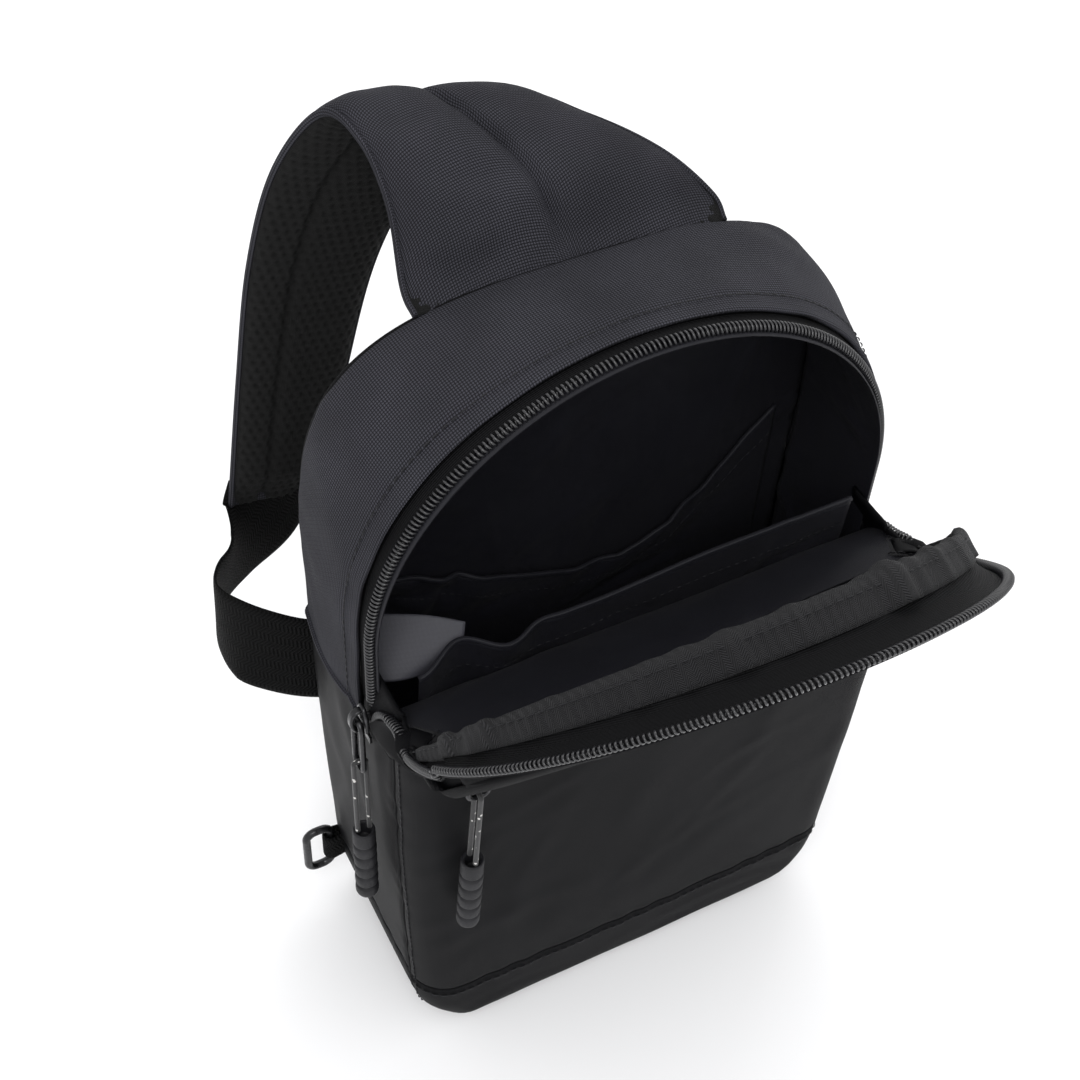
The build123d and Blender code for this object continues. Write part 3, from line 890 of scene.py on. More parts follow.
# ---- the inside ----
def make_inside():
    """The lining of the main compartment, its pockets and its label."""
    depths = np.linspace(HINGE_Y - 2.4, 33.0, 26)
    grid, along = gusset_grid(LINING_COLUMNS, depths, 3.2, 100.0, 0.0)
    a = np.broadcast_to(along, grid.shape[:2])
    b = grid[:, :, 1]
    normal = arch_normals(grid)
    height = soft_folds(a, b, 31, 60, (-260, 260), (-8, 34), 1.5, 22, 5.0, (0.6, 2.5))
    fade = smooth((b - HINGE_Y) / 8.0)
    grid = grid - normal * (np.abs(height) * fade)[:, :, None]
    place(cloth("lining_gusset", grid, LINING, LINING_THICK), "root", "lining_cloth", "main_lining")
    outline = back_shape(3.4)
    middle = np.array([0, 150.0])
    flat = np.array([middle + (outline - middle) * t for t in np.linspace(0.004, 1, 40)])
    height = soft_folds(flat[:, :, 0], flat[:, :, 1], 32, 60, (-90, 90), (60, 300), 1.3, 34, 7.0)
    back = np.stack([flat[:, :, 0], 34.0 - np.abs(height), flat[:, :, 1]], axis=2)
    place(cloth("lining_back", back[:, ::-1], LINING, LINING_THICK), "root", "lining_cloth")
    make_front_wall()
    make_slip_pockets()
    make_label()


def make_front_wall():
    """The wall between the main compartment and the front pocket."""
    z = np.linspace(6, HINGE_Z - 1, 60)
    t = np.linspace(-1, 1, 60)
    half = half_width(z) - 3.5
    x = half[:, None] * t[None, :]
    zz = np.broadcast_to(z[:, None], x.shape)
    height = soft_folds(x, zz, 33, 26, (-85, 85), (20, 185), 1.0, 30, 7.0)
    grid = np.stack([x, -15.2 + height * smooth((HINGE_Z - zz) / 20), zz], axis=2)
    place(cloth("front_wall_cloth", grid, LINING, 0.8), "root", "lining_cloth", "front_inner_wall")


def pocket_sheet(name, top_z, top_y, foot_z, foot_y, half, seed, node):
    """A slip pocket: a sheet sewn at its sides and foot, with a hemmed, sagging mouth."""
    columns = 90
    rows = 60
    t = np.linspace(-1, 1, columns)
    x = half * t
    mouth_z = top_z(x)
    mouth_y = top_y(x)
    s = np.linspace(0, 1, rows)[:, None]
    z = foot_z + (mouth_z[None, :] - foot_z) * s
    y = foot_y + (mouth_y[None, :] - foot_y) * s ** 2.2
    xx = np.broadcast_to(x[None, :], z.shape)
    inside = smooth((1 - np.abs(t)) / 0.12)[None, :]
    height = soft_folds(xx, z, seed, 34, (-80, 80), (foot_z, 205), 1.3, 26, 6.0) * inside
    grid = np.stack([xx, y + height * smooth(s * 3), z], axis=2)
    piece = cloth(name, grid, LINING, 0.45)
    place(piece, "root", "lining_cloth", node)
    hem = tube(name + "_hem", grid[-1] + np.array([0, 0, 0.2]), 0.95, LINING, (0, 1.0, 0.2), 10)
    place(hem, "root", "lining_cloth")
    line = grid[-6] + np.array([0, -0.3, 0])
    sewn = stitches(name + "_stitches", line, (0, -1.0, 0.2), THREAD, 2.4, 0.8, 0.18)
    place(sewn, "root", "lining_cloth")


def make_slip_pockets():
    half = 82.0

    def back_top(x):
        return np.interp(x, [-82, -60, 0, 20, 41, 58, 70, 82], [200, 190, 167, 165, 172, 190, 203, 212])

    def back_mouth(x):
        return 33.0 - 5.5 * np.cos(x / half * math.pi / 2) ** 0.7

    pocket_sheet("back_slip_cloth", back_top, back_mouth, 62.0, 33.0, half, 41, "back_slip_pocket")

    def front_top(x):
        return 206.0 + 9.0 * smooth((x + 60) / 90) + 2.2 * np.sin(x / 6.0) * smooth((-20 - x) / 40)

    def front_mouth(x):
        return -14.0 - 4.0 * smooth((x + 70) / 80) + 3.2 * np.sin(x / 5.2 + 1.0) * smooth((-25 - x) / 30)

    pocket_sheet("front_slip_cloth", front_top, front_mouth, 62.0, -13.4, 80.0, 42, "front_slip_pocket")


def make_label():
    """A plain label sewn into the left side seam, leaning back over the lining."""
    middle = np.array([-73.8, -8.4, 201.5])
    width_way = np.array([0.866, -0.5, 0.0])
    height_way = np.array([0.382, 0.661, 0.645])
    across = np.linspace(-19.0, 12.0, 30)[None, :, None]
    up = np.linspace(-9.0, 13.0, 24)[:, None, None]
    grid = middle + width_way * across + height_way * up
    out = (across[:, :, 0] + 19.0) / 31.0
    grid[:, :, 2] += 1.2 * np.sin(out * 3.4) + 0.5 * np.sin(grid[:, :, 0] / 4.0) * out
    grid[:, :, 1] = -10.5 + np.logaddexp(0, (grid[:, :, 1] + 10.5) / 1.5) * 1.5
    piece = cloth("label_cloth", grid, LABEL, 0.3)
    place(piece, "root", "label_cloth", "care_label")


# ---- the flap ----
def follow(y, z):
    """How far a point of the closed flap turns with it: 0 below the hinge, 1 on the stiff flap."""
    ahead = np.clip((HINGE_Y - y) / (HINGE_Y - FRONT), 0, 1)
    start = HINGE_Z + 1 + 15.0 * ahead
    end = HINGE_Z + 18 + 33.0 * ahead
    return smooth((z - start) / (end - start))


def opened(points, weight):
    """Turns closed points open about the hinge, each by its own share."""
    angle = OPEN * weight
    y = points[..., 1] - HINGE_Y
    z = points[..., 2] - HINGE_Z
    return np.stack([points[..., 0],
                     HINGE_Y + y * np.cos(angle) - z * np.sin(angle),
                     HINGE_Z + y * np.sin(angle) + z * np.cos(angle)], axis=-1)


def round_the_arch(length):
    """1 at the top of the flap, 0 at its hinges."""
    return np.cos(np.clip(np.abs(length) / HALF * 0.9, 0, math.pi / 2))


def eversion(length):
    """How far out the soft rim is turned."""
    return round_the_arch(length) ** np.where(np.asarray(length) > 0, 3.0, 1.8)


def lowered(length):
    """How far down the turned-out rim hangs: it stays low until close to its hinges."""
    return round_the_arch(length) ** np.where(np.asarray(length) > 0, 0.35, 0.5)


def rim_columns(count):
    """Lengths along the arch, from one hinge to the other."""
    leg = CENTRE - HINGE_Z - 1.0
    return np.linspace(-QUARTER - leg, QUARTER + leg, count)


def rim_point(length, radius_shift, y):
    """A closed point by arch length, distance outside the arch, and depth."""
    x, z, out_x, out_z = arch_point(length, HALF)
    y = np.broadcast_to(y, x.shape)
    return np.stack([x + out_x * radius_shift, y, z + out_z * radius_shift], axis=-1)


def squeeze(length):
    """Near its hinges the open rim is pushed in towards the middle."""
    below = np.clip(np.abs(length) - QUARTER, 0, None)
    return 11.0 * np.exp(-((below - 14.0) / 12.0) ** 2) * (np.abs(length) > QUARTER - 30)


# The rim's section from the lining's edge to the coil: share of the way, distance outside the
# arch, and distance behind the hinge line. Turned out it stands up in a soft roll.
RIM_OPEN = [(0.0, -5.0, -28.5), (0.2, -6.5, -17.5), (0.34, -2.5, -10.0), (0.46, 4.5, -11.0),
            (0.56, 7.0, -17.5), (0.66, 9.0, -23.0), (0.8, 17.0, -26.5), (0.93, 25.0, -28.2),
            (1.0, 28.0, -28.5)]
RIM_SHUT = [(0.0, -3.0, -28.0), (0.22, -1.0, -22.0), (0.38, 0.0, -17.5), (0.6, 0.8, -12.0),
            (0.8, 0.6, -7.5), (0.93, 0.2, -4.7), (1.0, 0.0, -3.5)]


def rim_rows(length, shares):
    """Closed rows of the rim between the lining's edge (0) and the coil (1)."""
    ev = eversion(length)
    low = lowered(length)
    pinch = squeeze(length)
    out = stations(RIM_OPEN, 12)
    shut = stations(RIM_SHUT, 12)
    rows = []
    for s in shares:
        radius = np.interp(s, out[:, 0], out[:, 1]) * ev + np.interp(s, shut[:, 0], shut[:, 1]) * (1 - ev)
        depth = np.interp(s, out[:, 0], out[:, 2]) * low + np.interp(s, shut[:, 0], shut[:, 2]) * (1 - low)
        rows.append(rim_point(length, radius - pinch * (0.9 - 0.75 * s), HINGE_Y + depth - 0.7 * pinch * s))
    return np.array(rows)


SIDE_START = QUARTER - 12.0      # where the rim's sides follow the hinge, and its top the lip


def three_parts(length):
    """The rim's columns split into its two sides and its top."""
    edge = SIDE_START
    left = np.where(length <= -edge)[0]
    right = np.where(length >= edge)[0]
    return {"left": slice(0, left[-1] + 1),
            "top": slice(left[-1], right[0] + 1),
            "right": slice(right[0], None)}


def lip_share(length, s):
    """How far a point of the rim follows the lip as it is turned back in."""
    away = smooth((SIDE_START - np.abs(length)) / 40.0)
    return lowered(length) * away * smooth(np.asarray(s) * 1.15)


def rim_piece(name, length, closed, shares, material, thick, slot, nodes):
    """Makes one layer of the rim in three pieces, so that each crosses only one joint."""
    weight = follow(closed[:, :, 1], closed[:, :, 2])
    rest = opened(closed, weight)
    lip = np.array([lip_share(length, s) for s in shares])
    for part, columns in three_parts(length).items():
        grid = rest[:, columns]
        piece = cloth(f"{name}_{part}", grid, material, thick)
        if part == "top":
            bend(piece, "flap", "flap_lip", np.tile(lip[:, columns].ravel(), 2), slot, *nodes)
        else:
            bend(piece, "root", "flap", np.tile(weight[:, columns].ravel(), 2), slot)


def rim_wrinkles(length, shares, seed, depth):
    """Gathers across the facing, as a height."""
    a = np.broadcast_to(length[None, :], (len(shares), len(length)))
    b = np.broadcast_to(np.asarray(shares)[:, None] * 30.0, a.shape)
    return soft_folds(a, b, seed, 60, (-190, 190), (0, 30), depth, 9.0, 4.5, (1.2, 1.9))


def shifted(closed, amount):
    """A grid moved along its own normals."""
    return closed + normals_of(closed) * np.asarray(amount)[..., None]


def make_rim():
    """The soft turned-out rim: facing, zip tape, outer cloth, stitches and coil."""
    length = rim_columns(RIM_COLUMNS)
    facing_share = np.linspace(0.0, 0.62, 22)
    tape_share = np.linspace(0.60, 0.985, 12)
    facing = rim_rows(length, facing_share)
    facing = shifted(facing, rim_wrinkles(length, facing_share, 51, 1.1))
    rim_piece("rim_facing", length, facing, facing_share, FACING, 0.9, "facing_tape", ["flap_facing"])
    tape = shifted(rim_rows(length, tape_share), np.full((12, RIM_COLUMNS), -0.6))
    rim_piece("rim_tape", length, tape, tape_share, TAPE, 0.6, "zip_tape", ["flap_zip_tape"])
    outer_share = np.linspace(0.0, 0.93, 20)
    outer = shifted(rim_rows(length, outer_share), np.full((20, RIM_COLUMNS), -2.4))
    rim_piece("rim_outer", length, outer[::-1], outer_share[::-1], SMOOTH, 0.8, "smooth_cloth", [])
    for name, share in (("rim_stitches_low", 0.05), ("rim_stitches_high", 0.50)):
        along_rim(name, length, [share, share + 0.03], 0, share, rim_thread, "facing_tape", [])
    along_rim("rim_coil", length, [0.97, 1.0], 1, 1.0, rim_coil, "zip_coil", ["flap_zip_coil"])


def nearest_column(piece, line):
    """For each point of a mesh, the nearest column of a line."""
    points = np.empty(len(piece.data.vertices) * 3, np.float32)
    piece.data.vertices.foreach_get("co", points)
    points = points.reshape(-1, 3) / MM
    out = np.empty(len(points), int)
    at_once = 4000
    for start in range(0, len(points), at_once):
        part = points[start:start + at_once]
        out[start:start + at_once] = np.argmin(((part[:, None] - line[None]) ** 2).sum(axis=2), axis=1)
    return out


def along_rim(name, length, shares, row, share, make, slot, nodes):
    """Puts stitches or a coil on one row of the rim, in the same three pieces as its cloth."""
    rows = rim_rows(length, shares)
    weight = follow(rows[:, :, 1], rows[:, :, 2])
    rest = opened(rows, weight)
    line = rest[row]
    out = normals_of(rest)[row]
    for part, columns in three_parts(length).items():
        piece = make(f"{name}_{part}", line[columns], out[columns])
        near = nearest_column(piece, line[columns])
        if part == "top":
            bend(piece, "flap", "flap_lip", lip_share(length[columns], share)[near], slot, *nodes)
        else:
            bend(piece, "root", "flap", weight[row][columns][near], slot)


def rim_thread(name, line, out):
    return stitches(name, line + out * 0.35, out, THREAD)


def rim_coil(name, line, out):
    return coil(name, line, out, COIL)


def flap_grid(count_rows, count_columns, foot, inset, foot_y, face_y, rise_z):
    """The closed flap's face: lines fan out from its foot to the arch."""
    quarter_leg = CENTRE - foot
    length = np.linspace(-QUARTER - quarter_leg, QUARTER + quarter_leg, count_columns) * 0.994
    x, z, out_x, out_z = arch_point(length, HALF)
    x = x - out_x * inset
    z = z - out_z * inset
    foot_x = (HALF - inset) * np.sin(length / (QUARTER + quarter_leg) * math.pi / 2)
    t = np.linspace(0, 1, count_rows)[:, None]
    xx = foot_x[None] * (1 - t) + x[None] * t
    zz = foot * (1 - t) + z[None] * t
    yy = foot_y + (face_y - foot_y) * smooth((zz - foot) / rise_z)
    return np.stack([xx, yy, zz], axis=2), length, t


def make_flap_face():
    """The flap's outer cloth, with its rolled edge."""
    grid, length, t = flap_grid(64, 150, FLAP_FOOT, 1.0, FLAP_FACE, FLAP_FACE, 10.0)
    grid[:, :, 1] -= front_crown(grid[:, :, 0]) * (1 - smooth((grid[:, :, 2] - FLAP_FOOT) / 25.0))
    distance = (1 - t) * np.linalg.norm(grid[-1] - grid[0], axis=1)[None, :]
    grid[:, :, 1] += 3.5 * (1 - np.sqrt(np.clip(1 - np.clip(1 - distance / 9.0, 0, 1) ** 2, 0, 1)))
    crown = smooth(distance / 40.0) * smooth((grid[:, :, 2] - FLAP_FOOT) / 20.0)
    droop = np.exp(-((grid[:, :, 2] - FLAP_FOOT - 16) / 11.0) ** 2)
    height = soft_folds(grid[:, :, 0], grid[:, :, 2], 61, 26, (-90, 90), (205, 300), 0.9, 28, 6.0)
    grid[:, :, 1] -= 1.5 * crown + height * smooth(distance / 12.0) + 2.0 * droop
    weight = follow(grid[:, :, 1], grid[:, :, 2])
    rest = opened(grid, weight)
    piece = cloth("flap_cloth", rest[:, ::-1], SMOOTH, 1.4)
    bend(piece, "root", "flap", np.tile(weight[:, ::-1].ravel(), 2), "smooth_cloth", "flap_panel",
         "flap_gusset_left", "flap_gusset_right")


def make_flap_lining():
    """The flap's inner cloth, loose and creased."""
    grid, length, t = flap_grid(70, 150, HINGE_Z - 1.0, 3.6, HINGE_Y - 4.4, HINGE_Y - 27.6, 36.0)
    distance = (1 - t) * np.linalg.norm(grid[-1] - grid[0], axis=1)[None, :]
    height = soft_folds(grid[:, :, 0], grid[:, :, 2], 62, 50, (-90, 90), (192, 305), 2.0, 34, 7.0)
    grid[:, :, 1] += height * smooth(distance / 14.0) * smooth((grid[:, :, 2] - HINGE_Z) / 14.0)
    weight = follow(grid[:, :, 1], grid[:, :, 2])
    rest = opened(grid, weight)
    piece = cloth("flap_lining_cloth", rest, LINING, LINING_THICK)
    bend(piece, "root", "flap", np.tile(weight.ravel(), 2), "lining_cloth", "flap_lining")


# ---- the pocket zip ----
def make_pocket_zip():
    """The front pocket's zip: two tapes, their stitches and the closed coil."""
    x = np.linspace(-ZIP_HALF, ZIP_HALF, 90)
    face = FRONT - front_crown(x)
    for name, low, high in (("lower", PANEL_TOP - 1.0, ZIP_Z - 1.2), ("upper", ZIP_Z + 1.2, FLAP_FOOT + 1.0)):
        z = np.linspace(low, high, 8)
        grid = np.stack([np.broadcast_to(x, (8, 90)), np.broadcast_to(face + 0.5, (8, 90)),
                         np.broadcast_to(z[:, None], (8, 90))], axis=2)
        piece = cloth("pocket_tape_" + name, grid[:, ::-1], TAPE, 0.6)
        place(piece, "root", "zip_tape", "pocket_zip_tape_" + name)
        line = grid[2 if name == "lower" else -3] + np.array([0, -0.2, 0])
        place(stitches("pocket_tape_stitches_" + name, line, (0, -1.0, 0), THREAD), "root", "zip_tape")
    path = np.stack([x, face + 0.1, np.full(90, ZIP_Z)], axis=1)
    place(coil("pocket_coil", path, (0, -1.0, 0), COIL, 0.85, 0.95, 2.1, 0.36), "root", "zip_coil",
          "pocket_zip_coil")


# ---- the strap ----
STRAP_EDGES = [
    ((-STRAP_HALF, BACK - 1.0, STRAP_Z - 3.0), (STRAP_HALF, BACK - 1.0, STRAP_Z - 3.0)),
    ((-STRAP_HALF, BACK + 8.0, STRAP_Z + 1.0), (STRAP_HALF, BACK + 8.0, STRAP_Z + 1.0)),
    ((-50.0, 67.0, 321.0), (41.0, 62.0, 316.0)),
    ((-51.0, 85.0, 333.0), (22.0, 77.0, 325.0)),
    ((-57.0, 101.0, 334.0), (3.0, 95.0, 326.0)),
    ((-70.0, 111.0, 309.0), (-18.0, 107.0, 300.0)),
    ((-80.0, 115.0, 270.0), (-35.0, 114.0, 262.0)),
    ((-88.0, 115.0, 220.0), (-48.0, 115.0, 213.0)),
    ((-98.0, 109.0, 166.0), (-61.0, 112.0, 156.0)),
]
STRAP_THICK = 11.5


def strap_frame(count):
    """Left and right edges, outward direction and distance along, evenly spaced."""
    left = stations([row[0] for row in STRAP_EDGES], 30)
    right = stations([row[1] for row in STRAP_EDGES], 30)
    both = resample(np.concatenate([left, right, (left + right) / 2], axis=1), count)
    left, right, middle = both[:, :3], both[:, 3:6], both[:, 6:]
    side = unit(right - left)
    ahead = unit(np.gradient(middle, axis=0))
    out = unit(np.cross(side, ahead))
    return left, right, out, lengths(middle)


def strap_fill(along):
    """The padding's share of its full thickness: it tapers into the top seam and the lower end."""
    end = along[-1]
    return 0.18 + 0.82 * smooth(along / 30.0) * smooth((end - along) / 16.0)


class StrapGrid:
    """The strap's middle surface as a grid, with what its cover and its mesh are shaped by."""

    def __init__(self, count, a):
        left, right, self.out, along = strap_frame(count)
        width = np.linalg.norm(right - left, axis=1)[:, None]
        self.flat = ((left + right) / 2)[:, None] + ((right - left) / 2)[:, None] * a[None, :, None]
        self.width = width
        self.across = a[None, :] * width / 2
        self.end = along[-1]
        self.along = np.broadcast_to(along[:, None], self.across.shape)
        self.profile = np.sqrt(np.clip(1 - np.abs(a) ** 3.6, 0, 1))[None, :]
        self.fill = strap_fill(along)[:, None]
        self.share = smooth((along - 4.0) / 26.0)

    def weights(self):
        """How far each point of a cloth on this grid follows the strap's hinge."""
        return np.tile(np.repeat(self.share, self.across.shape[1]), 2)


def make_strap():
    """The padded strap: its outer cover, inner mesh and turned edges."""
    even = np.linspace(-1, 1, 61)
    strap = StrapGrid(190, 0.5 * np.sin(even * math.pi / 2) + 0.5 * even)
    height = STRAP_THICK / 2 * strap.profile * strap.fill
    groove = np.exp(-(strap.across / 1.5) ** 2)
    groove = groove * smooth((strap.along - 4) / 10) * smooth((strap.end - strap.along) / 30)
    pucker = 1.0 + 0.25 * np.sin(strap.along / 3.1 + np.sin(strap.along / 11.0) * 2)
    sunk = np.exp(-(strap.across / 7.0) ** 2)
    outer = height - 2.6 * groove * pucker * strap.fill - 1.6 * sunk * strap.fill
    folds = soft_folds(strap.along, strap.across, 71, 26, (0, strap.end), (-50, 50), 0.7, 22, 7.0,
                       (1.0, 2.2))
    outer += folds * strap.profile
    grid = strap.flat + strap.out[:, None] * (outer - 0.4)[:, :, None]
    cover = cloth("strap_cloth", grid[:, ::-1], OXFORD, 1.2)
    bend(cover, "root", "strap", strap.weights(), "oxford_cloth", "strap_cover", "strap_foam")
    make_strap_mesh()
    make_strap_trim(strap.flat, strap.out, strap.share)


def make_strap_mesh():
    """The strap's inner side: spacer mesh with its rows of small holes."""
    strap = StrapGrid(330, np.linspace(-1, 1, 96))
    depth = STRAP_THICK / 2 * strap.profile * strap.fill
    step = 3.4
    rows = np.floor(strap.along / step)
    hole_a = np.mod(strap.across / step + 0.5 * np.mod(rows, 2), 1.0) - 0.5
    hole_b = np.mod(strap.along / step, 1.0) - 0.5
    hole = np.exp(-(hole_a ** 2 + hole_b ** 2) / 0.06)
    depth = depth - 0.75 * hole * (strap.profile > 0.35)
    crease = np.exp(-((strap.across + 0.18 * strap.width) / 2.0) ** 2)
    depth -= 1.6 * crease * smooth((strap.along - 60) / 30)
    grid = strap.flat - strap.out[:, None] * (depth + 0.4)[:, :, None]
    piece = cloth("strap_inner_mesh", grid, SPACER, 1.0)
    bend(piece, "root", "strap", strap.weights(), "spacer_mesh", "strap_mesh")


def make_strap_trim(flat, out, share):
    """The turned edges where the cover and the mesh are sewn together."""
    for name, column in (("left", 0), ("right", -1)):
        path = flat[:, column] - out * 0.4
        piece = tube("strap_edge_" + name, path, 1.0, OXFORD, out, 12, 1.4)
        bend(piece, "root", "strap", np.repeat(share, 12), "oxford_cloth")


# ---- webbing, tabs and metal ----
WEB_ROUTE = [
    ((-80.0, 111.0, 166.0), (0.92, -0.05, -0.35)),
    ((-87.0, 109.0, 154.0), (0.80, 0.10, -0.55)),
    ((-99.0, 101.0, 147.0), (0.48, 0.45, -0.74)),
    ((-111.0, 90.0, 145.0), (0.20, 0.45, -0.87)),
    ((-116.5, 76.0, 146.0), (-0.05, 0.15, -0.98)),
    ((-112.0, 63.0, 146.0), (-0.25, 0.00, -0.95)),
    ((-100.0, 54.0, 142.0), (-0.35, 0.00, -0.92)),
    ((-84.0, 48.2, 136.5), (-0.48, 0.00, -0.88)),
]


def web_lines():
    """The webbing's route with its width direction: down the strap, round, and across the back."""
    route = [row[0] for row in WEB_ROUTE]
    way = [row[1] for row in WEB_ROUTE]
    start = np.array(route[-1])
    end = np.array([74.0, BACK + 5.7, 46.8])
    run = unit(end - start)
    level = np.array([run[2], 0.0, -run[0]])
    for t in np.linspace(0.12, 1.0, 8):
        route.append(tuple(start + (end - start) * t))
        way.append(tuple(level))
    both = np.concatenate([np.array(route), np.array(way)], axis=1)
    both = curve_through(both, 240)
    return both[:, :3], unit(both[:, 3:])


def make_webbing():
    """The webbing from the strap's lower end to the snap hook."""
    path, way = web_lines()
    along = lengths(path)
    piece = ribbon("webbing_band", path, way, 38.0, 1.7, WEBBING, 20)
    share = 1 - smooth((along - 8.0) / 105.0)
    bend(piece, "root", "strap", np.repeat(share, 40), "webbing", "webbing", "webbing_turn")
    make_web_loop(path, way)


def make_web_loop(path, way):
    """The end of the webbing goes round the hook's eye, back on itself, and is sewn down."""
    end = path[-1]
    back = unit(path[-12] - path[-1])
    out = np.array([0.0, 1.0, 0.0])
    radius = 2.9
    turn = np.linspace(-math.pi / 2, math.pi / 2, 14)
    loop = [end + out * radius * (1 + math.sin(t)) - back * radius * math.cos(t) for t in turn]
    tail = []
    for d in np.linspace(2.0, 30.0, 14):
        tail.append(end + out * (2 * radius - 0.6 - 2.2 * smooth(d / 10.0)) + back * d)
    route = resample(np.array(loop + tail), 60)
    piece = ribbon("webbing_loop", route, way[-1], 38.0, 1.6, WEBBING, 20)
    place(piece, "root", "webbing")
    bar = end + out * 2.9 + back * 22.0
    for name, shift in (("one", 0.0), ("two", 5.0)):
        across = np.linspace(-16.0, 16.0, 20)[:, None] * way[-1][None] + bar + back * shift + out * 0.8
        place(stitches("webbing_bar_" + name, across, out, THREAD, 2.2, 0.5, 0.3), "root", "webbing")


def make_tab(name, side):
    """A folded webbing tab that holds the D-ring's bar."""
    low, high = corners("tab_" + name)
    bar = (low + high) / 2
    bar[0] = low[0] + 3.25 if side < 0 else high[0] - 3.25
    inward = np.array([-side * 1.0, 0.0, 0.0])
    radius = 2.7
    turn = np.linspace(-math.pi / 2, math.pi / 2, 16)
    loop = [bar + np.array([0, 1.0, 0]) * radius * math.sin(t) - inward * radius * math.cos(t) for t in turn]
    start = [loop[0] + inward * d + np.array([0, 1.0, 0]) * 0.12 * d for d in np.linspace(11.0, 1.0, 8)]
    end = [loop[-1] + inward * d - np.array([0, 1.0, 0]) * 0.12 * d for d in np.linspace(1.0, 11.0, 8)]
    path = resample(np.array(start + loop + end), 60)
    piece = ribbon("tab_band_" + name, path, (0, 0, 1.0), 15.0, 1.2, WEBBING, 14)
    place(piece, "root", "webbing", "tab_" + name)


# ---- sliders and pulls ----
def plate(name, outline, low, high, edge, material):
    """A flat part with rounded edges, from its outline."""
    outline = np.asarray(outline, float)
    inner = outline * (1 - edge / np.abs(outline).max())
    rings = []
    for z, share in ((low, 1.0), (low + edge * 0.3, 0.35), (low + edge, 0.0), (high - edge, 0.0),
                     (high - edge * 0.3, 0.35), (high, 1.0)):
        points = outline * (1 - share) + inner * share
        rings.append(np.concatenate([points, np.full((len(points), 1), z)], axis=1))
    return tube_of_rings(name, np.array(rings), material)


def merge(name, made):
    """Joins several pieces into one mesh."""
    first = made[0]
    first.name = name
    first.data.name = name
    with bpy.context.temp_override(active_object=first, selected_editable_objects=made):
        bpy.ops.object.join()
    return first


def move_to(piece, origin, x_way, z_way):
    """Takes a piece from its own axes, in millimetres, to its place in the frame."""
    z_way = Vector(z_way).normalized()
    x_way = Vector(x_way).normalized()
    y_way = z_way.cross(x_way)
    turn = Matrix((x_way, y_way, z_way)).transposed().to_4x4()
    piece.data.transform(Matrix.Translation(Vector(origin) * MM) @ turn)


def slider_outline():
    """Shield shape: a rounded nose at one end and two lobes at the other."""
    points = []
    for turn in np.linspace(0, 2 * math.pi, 40, endpoint=False):
        x = math.sin(turn)
        y = math.cos(turn)
        wide = 4.2 * (0.86 + 0.14 * y)
        points.append((wide * math.copysign(abs(x) ** 0.7, x), 6.2 * math.copysign(abs(y) ** 0.8, y)))
    return points


def make_slider(name, at, out, side):
    """A zip slider: two plates on a post, with a bridge for the ring."""
    outline = slider_outline()
    top = plate("top", outline, 1.2, 2.7, 0.5, METAL)
    low = plate("low", np.array(outline) * 0.96, -2.6, -1.3, 0.5, METAL)
    post = plate("post", np.array(outline) * np.array([0.3, 0.32]), -1.6, 1.6, 0.3, METAL)
    turn = np.linspace(0, math.pi, 24)
    arch_y = -4.6 * np.cos(turn) * (1 + 0.12 * np.sin(turn))
    arch = np.stack([np.zeros(24), arch_y, 2.2 + 4.1 * np.sin(turn) ** 0.7], axis=1)
    bridge = ribbon("bridge", arch, (1.0, 0, 0), 2.7, 1.3, METAL, 10)
    piece = merge("slider_body_" + name, [top, low, post, bridge])
    move_to(piece, at, side, out)
    place(piece, "slider_" + name, "black_metal", "slider_" + name)


def barrel_profile():
    """Radius and distance along the barrel, from inside its open top to its closed foot."""
    profile = [(0.6, 6.0), (2.6, 6.0), (2.9, 5.4), (3.0, 0.9), (3.3, 0.25), (3.8, 0.0), (4.25, 0.25),
               (4.45, 0.8), (4.45, 5.6)]
    for i in range(5):
        groove = 8.0 + i * 6.0
        profile += [(4.55, groove - 1.3), (4.4, groove - 0.75), (3.75, groove - 0.5), (3.7, groove),
                    (3.75, groove + 0.5), (4.4, groove + 0.75), (4.6, groove + 1.3), (4.65, groove + 3.0)]
    profile += [(4.6, 36.3), (4.3, 37.3), (3.7, 37.9), (2.4, 38.0), (1.3, 37.8), (1.1, 36.6), (0.5, 36.4)]
    return profile


def make_barrel(name, top, lean, side):
    """The ribbed rubber barrel at the end of a pull."""
    turn = np.linspace(0, 2 * math.pi, 36, endpoint=False)
    rings = []
    for radius, along in barrel_profile():
        nick = 0.9 - 0.03 * (radius > 4.3) * (np.abs(np.sin(turn)) < 0.10)
        x = radius * nick * np.cos(turn)
        y = radius * nick * np.sin(turn)
        rings.append(np.stack([x, y, np.full(36, along)], axis=1))
    piece = tube_of_rings("barrel_" + name, np.array(rings)[:, ::-1], RUBBER)
    move_to(piece, top, side, lean)
    place(piece, "pull_" + name, "pull_rubber", "pull_barrel_" + name)
    return piece


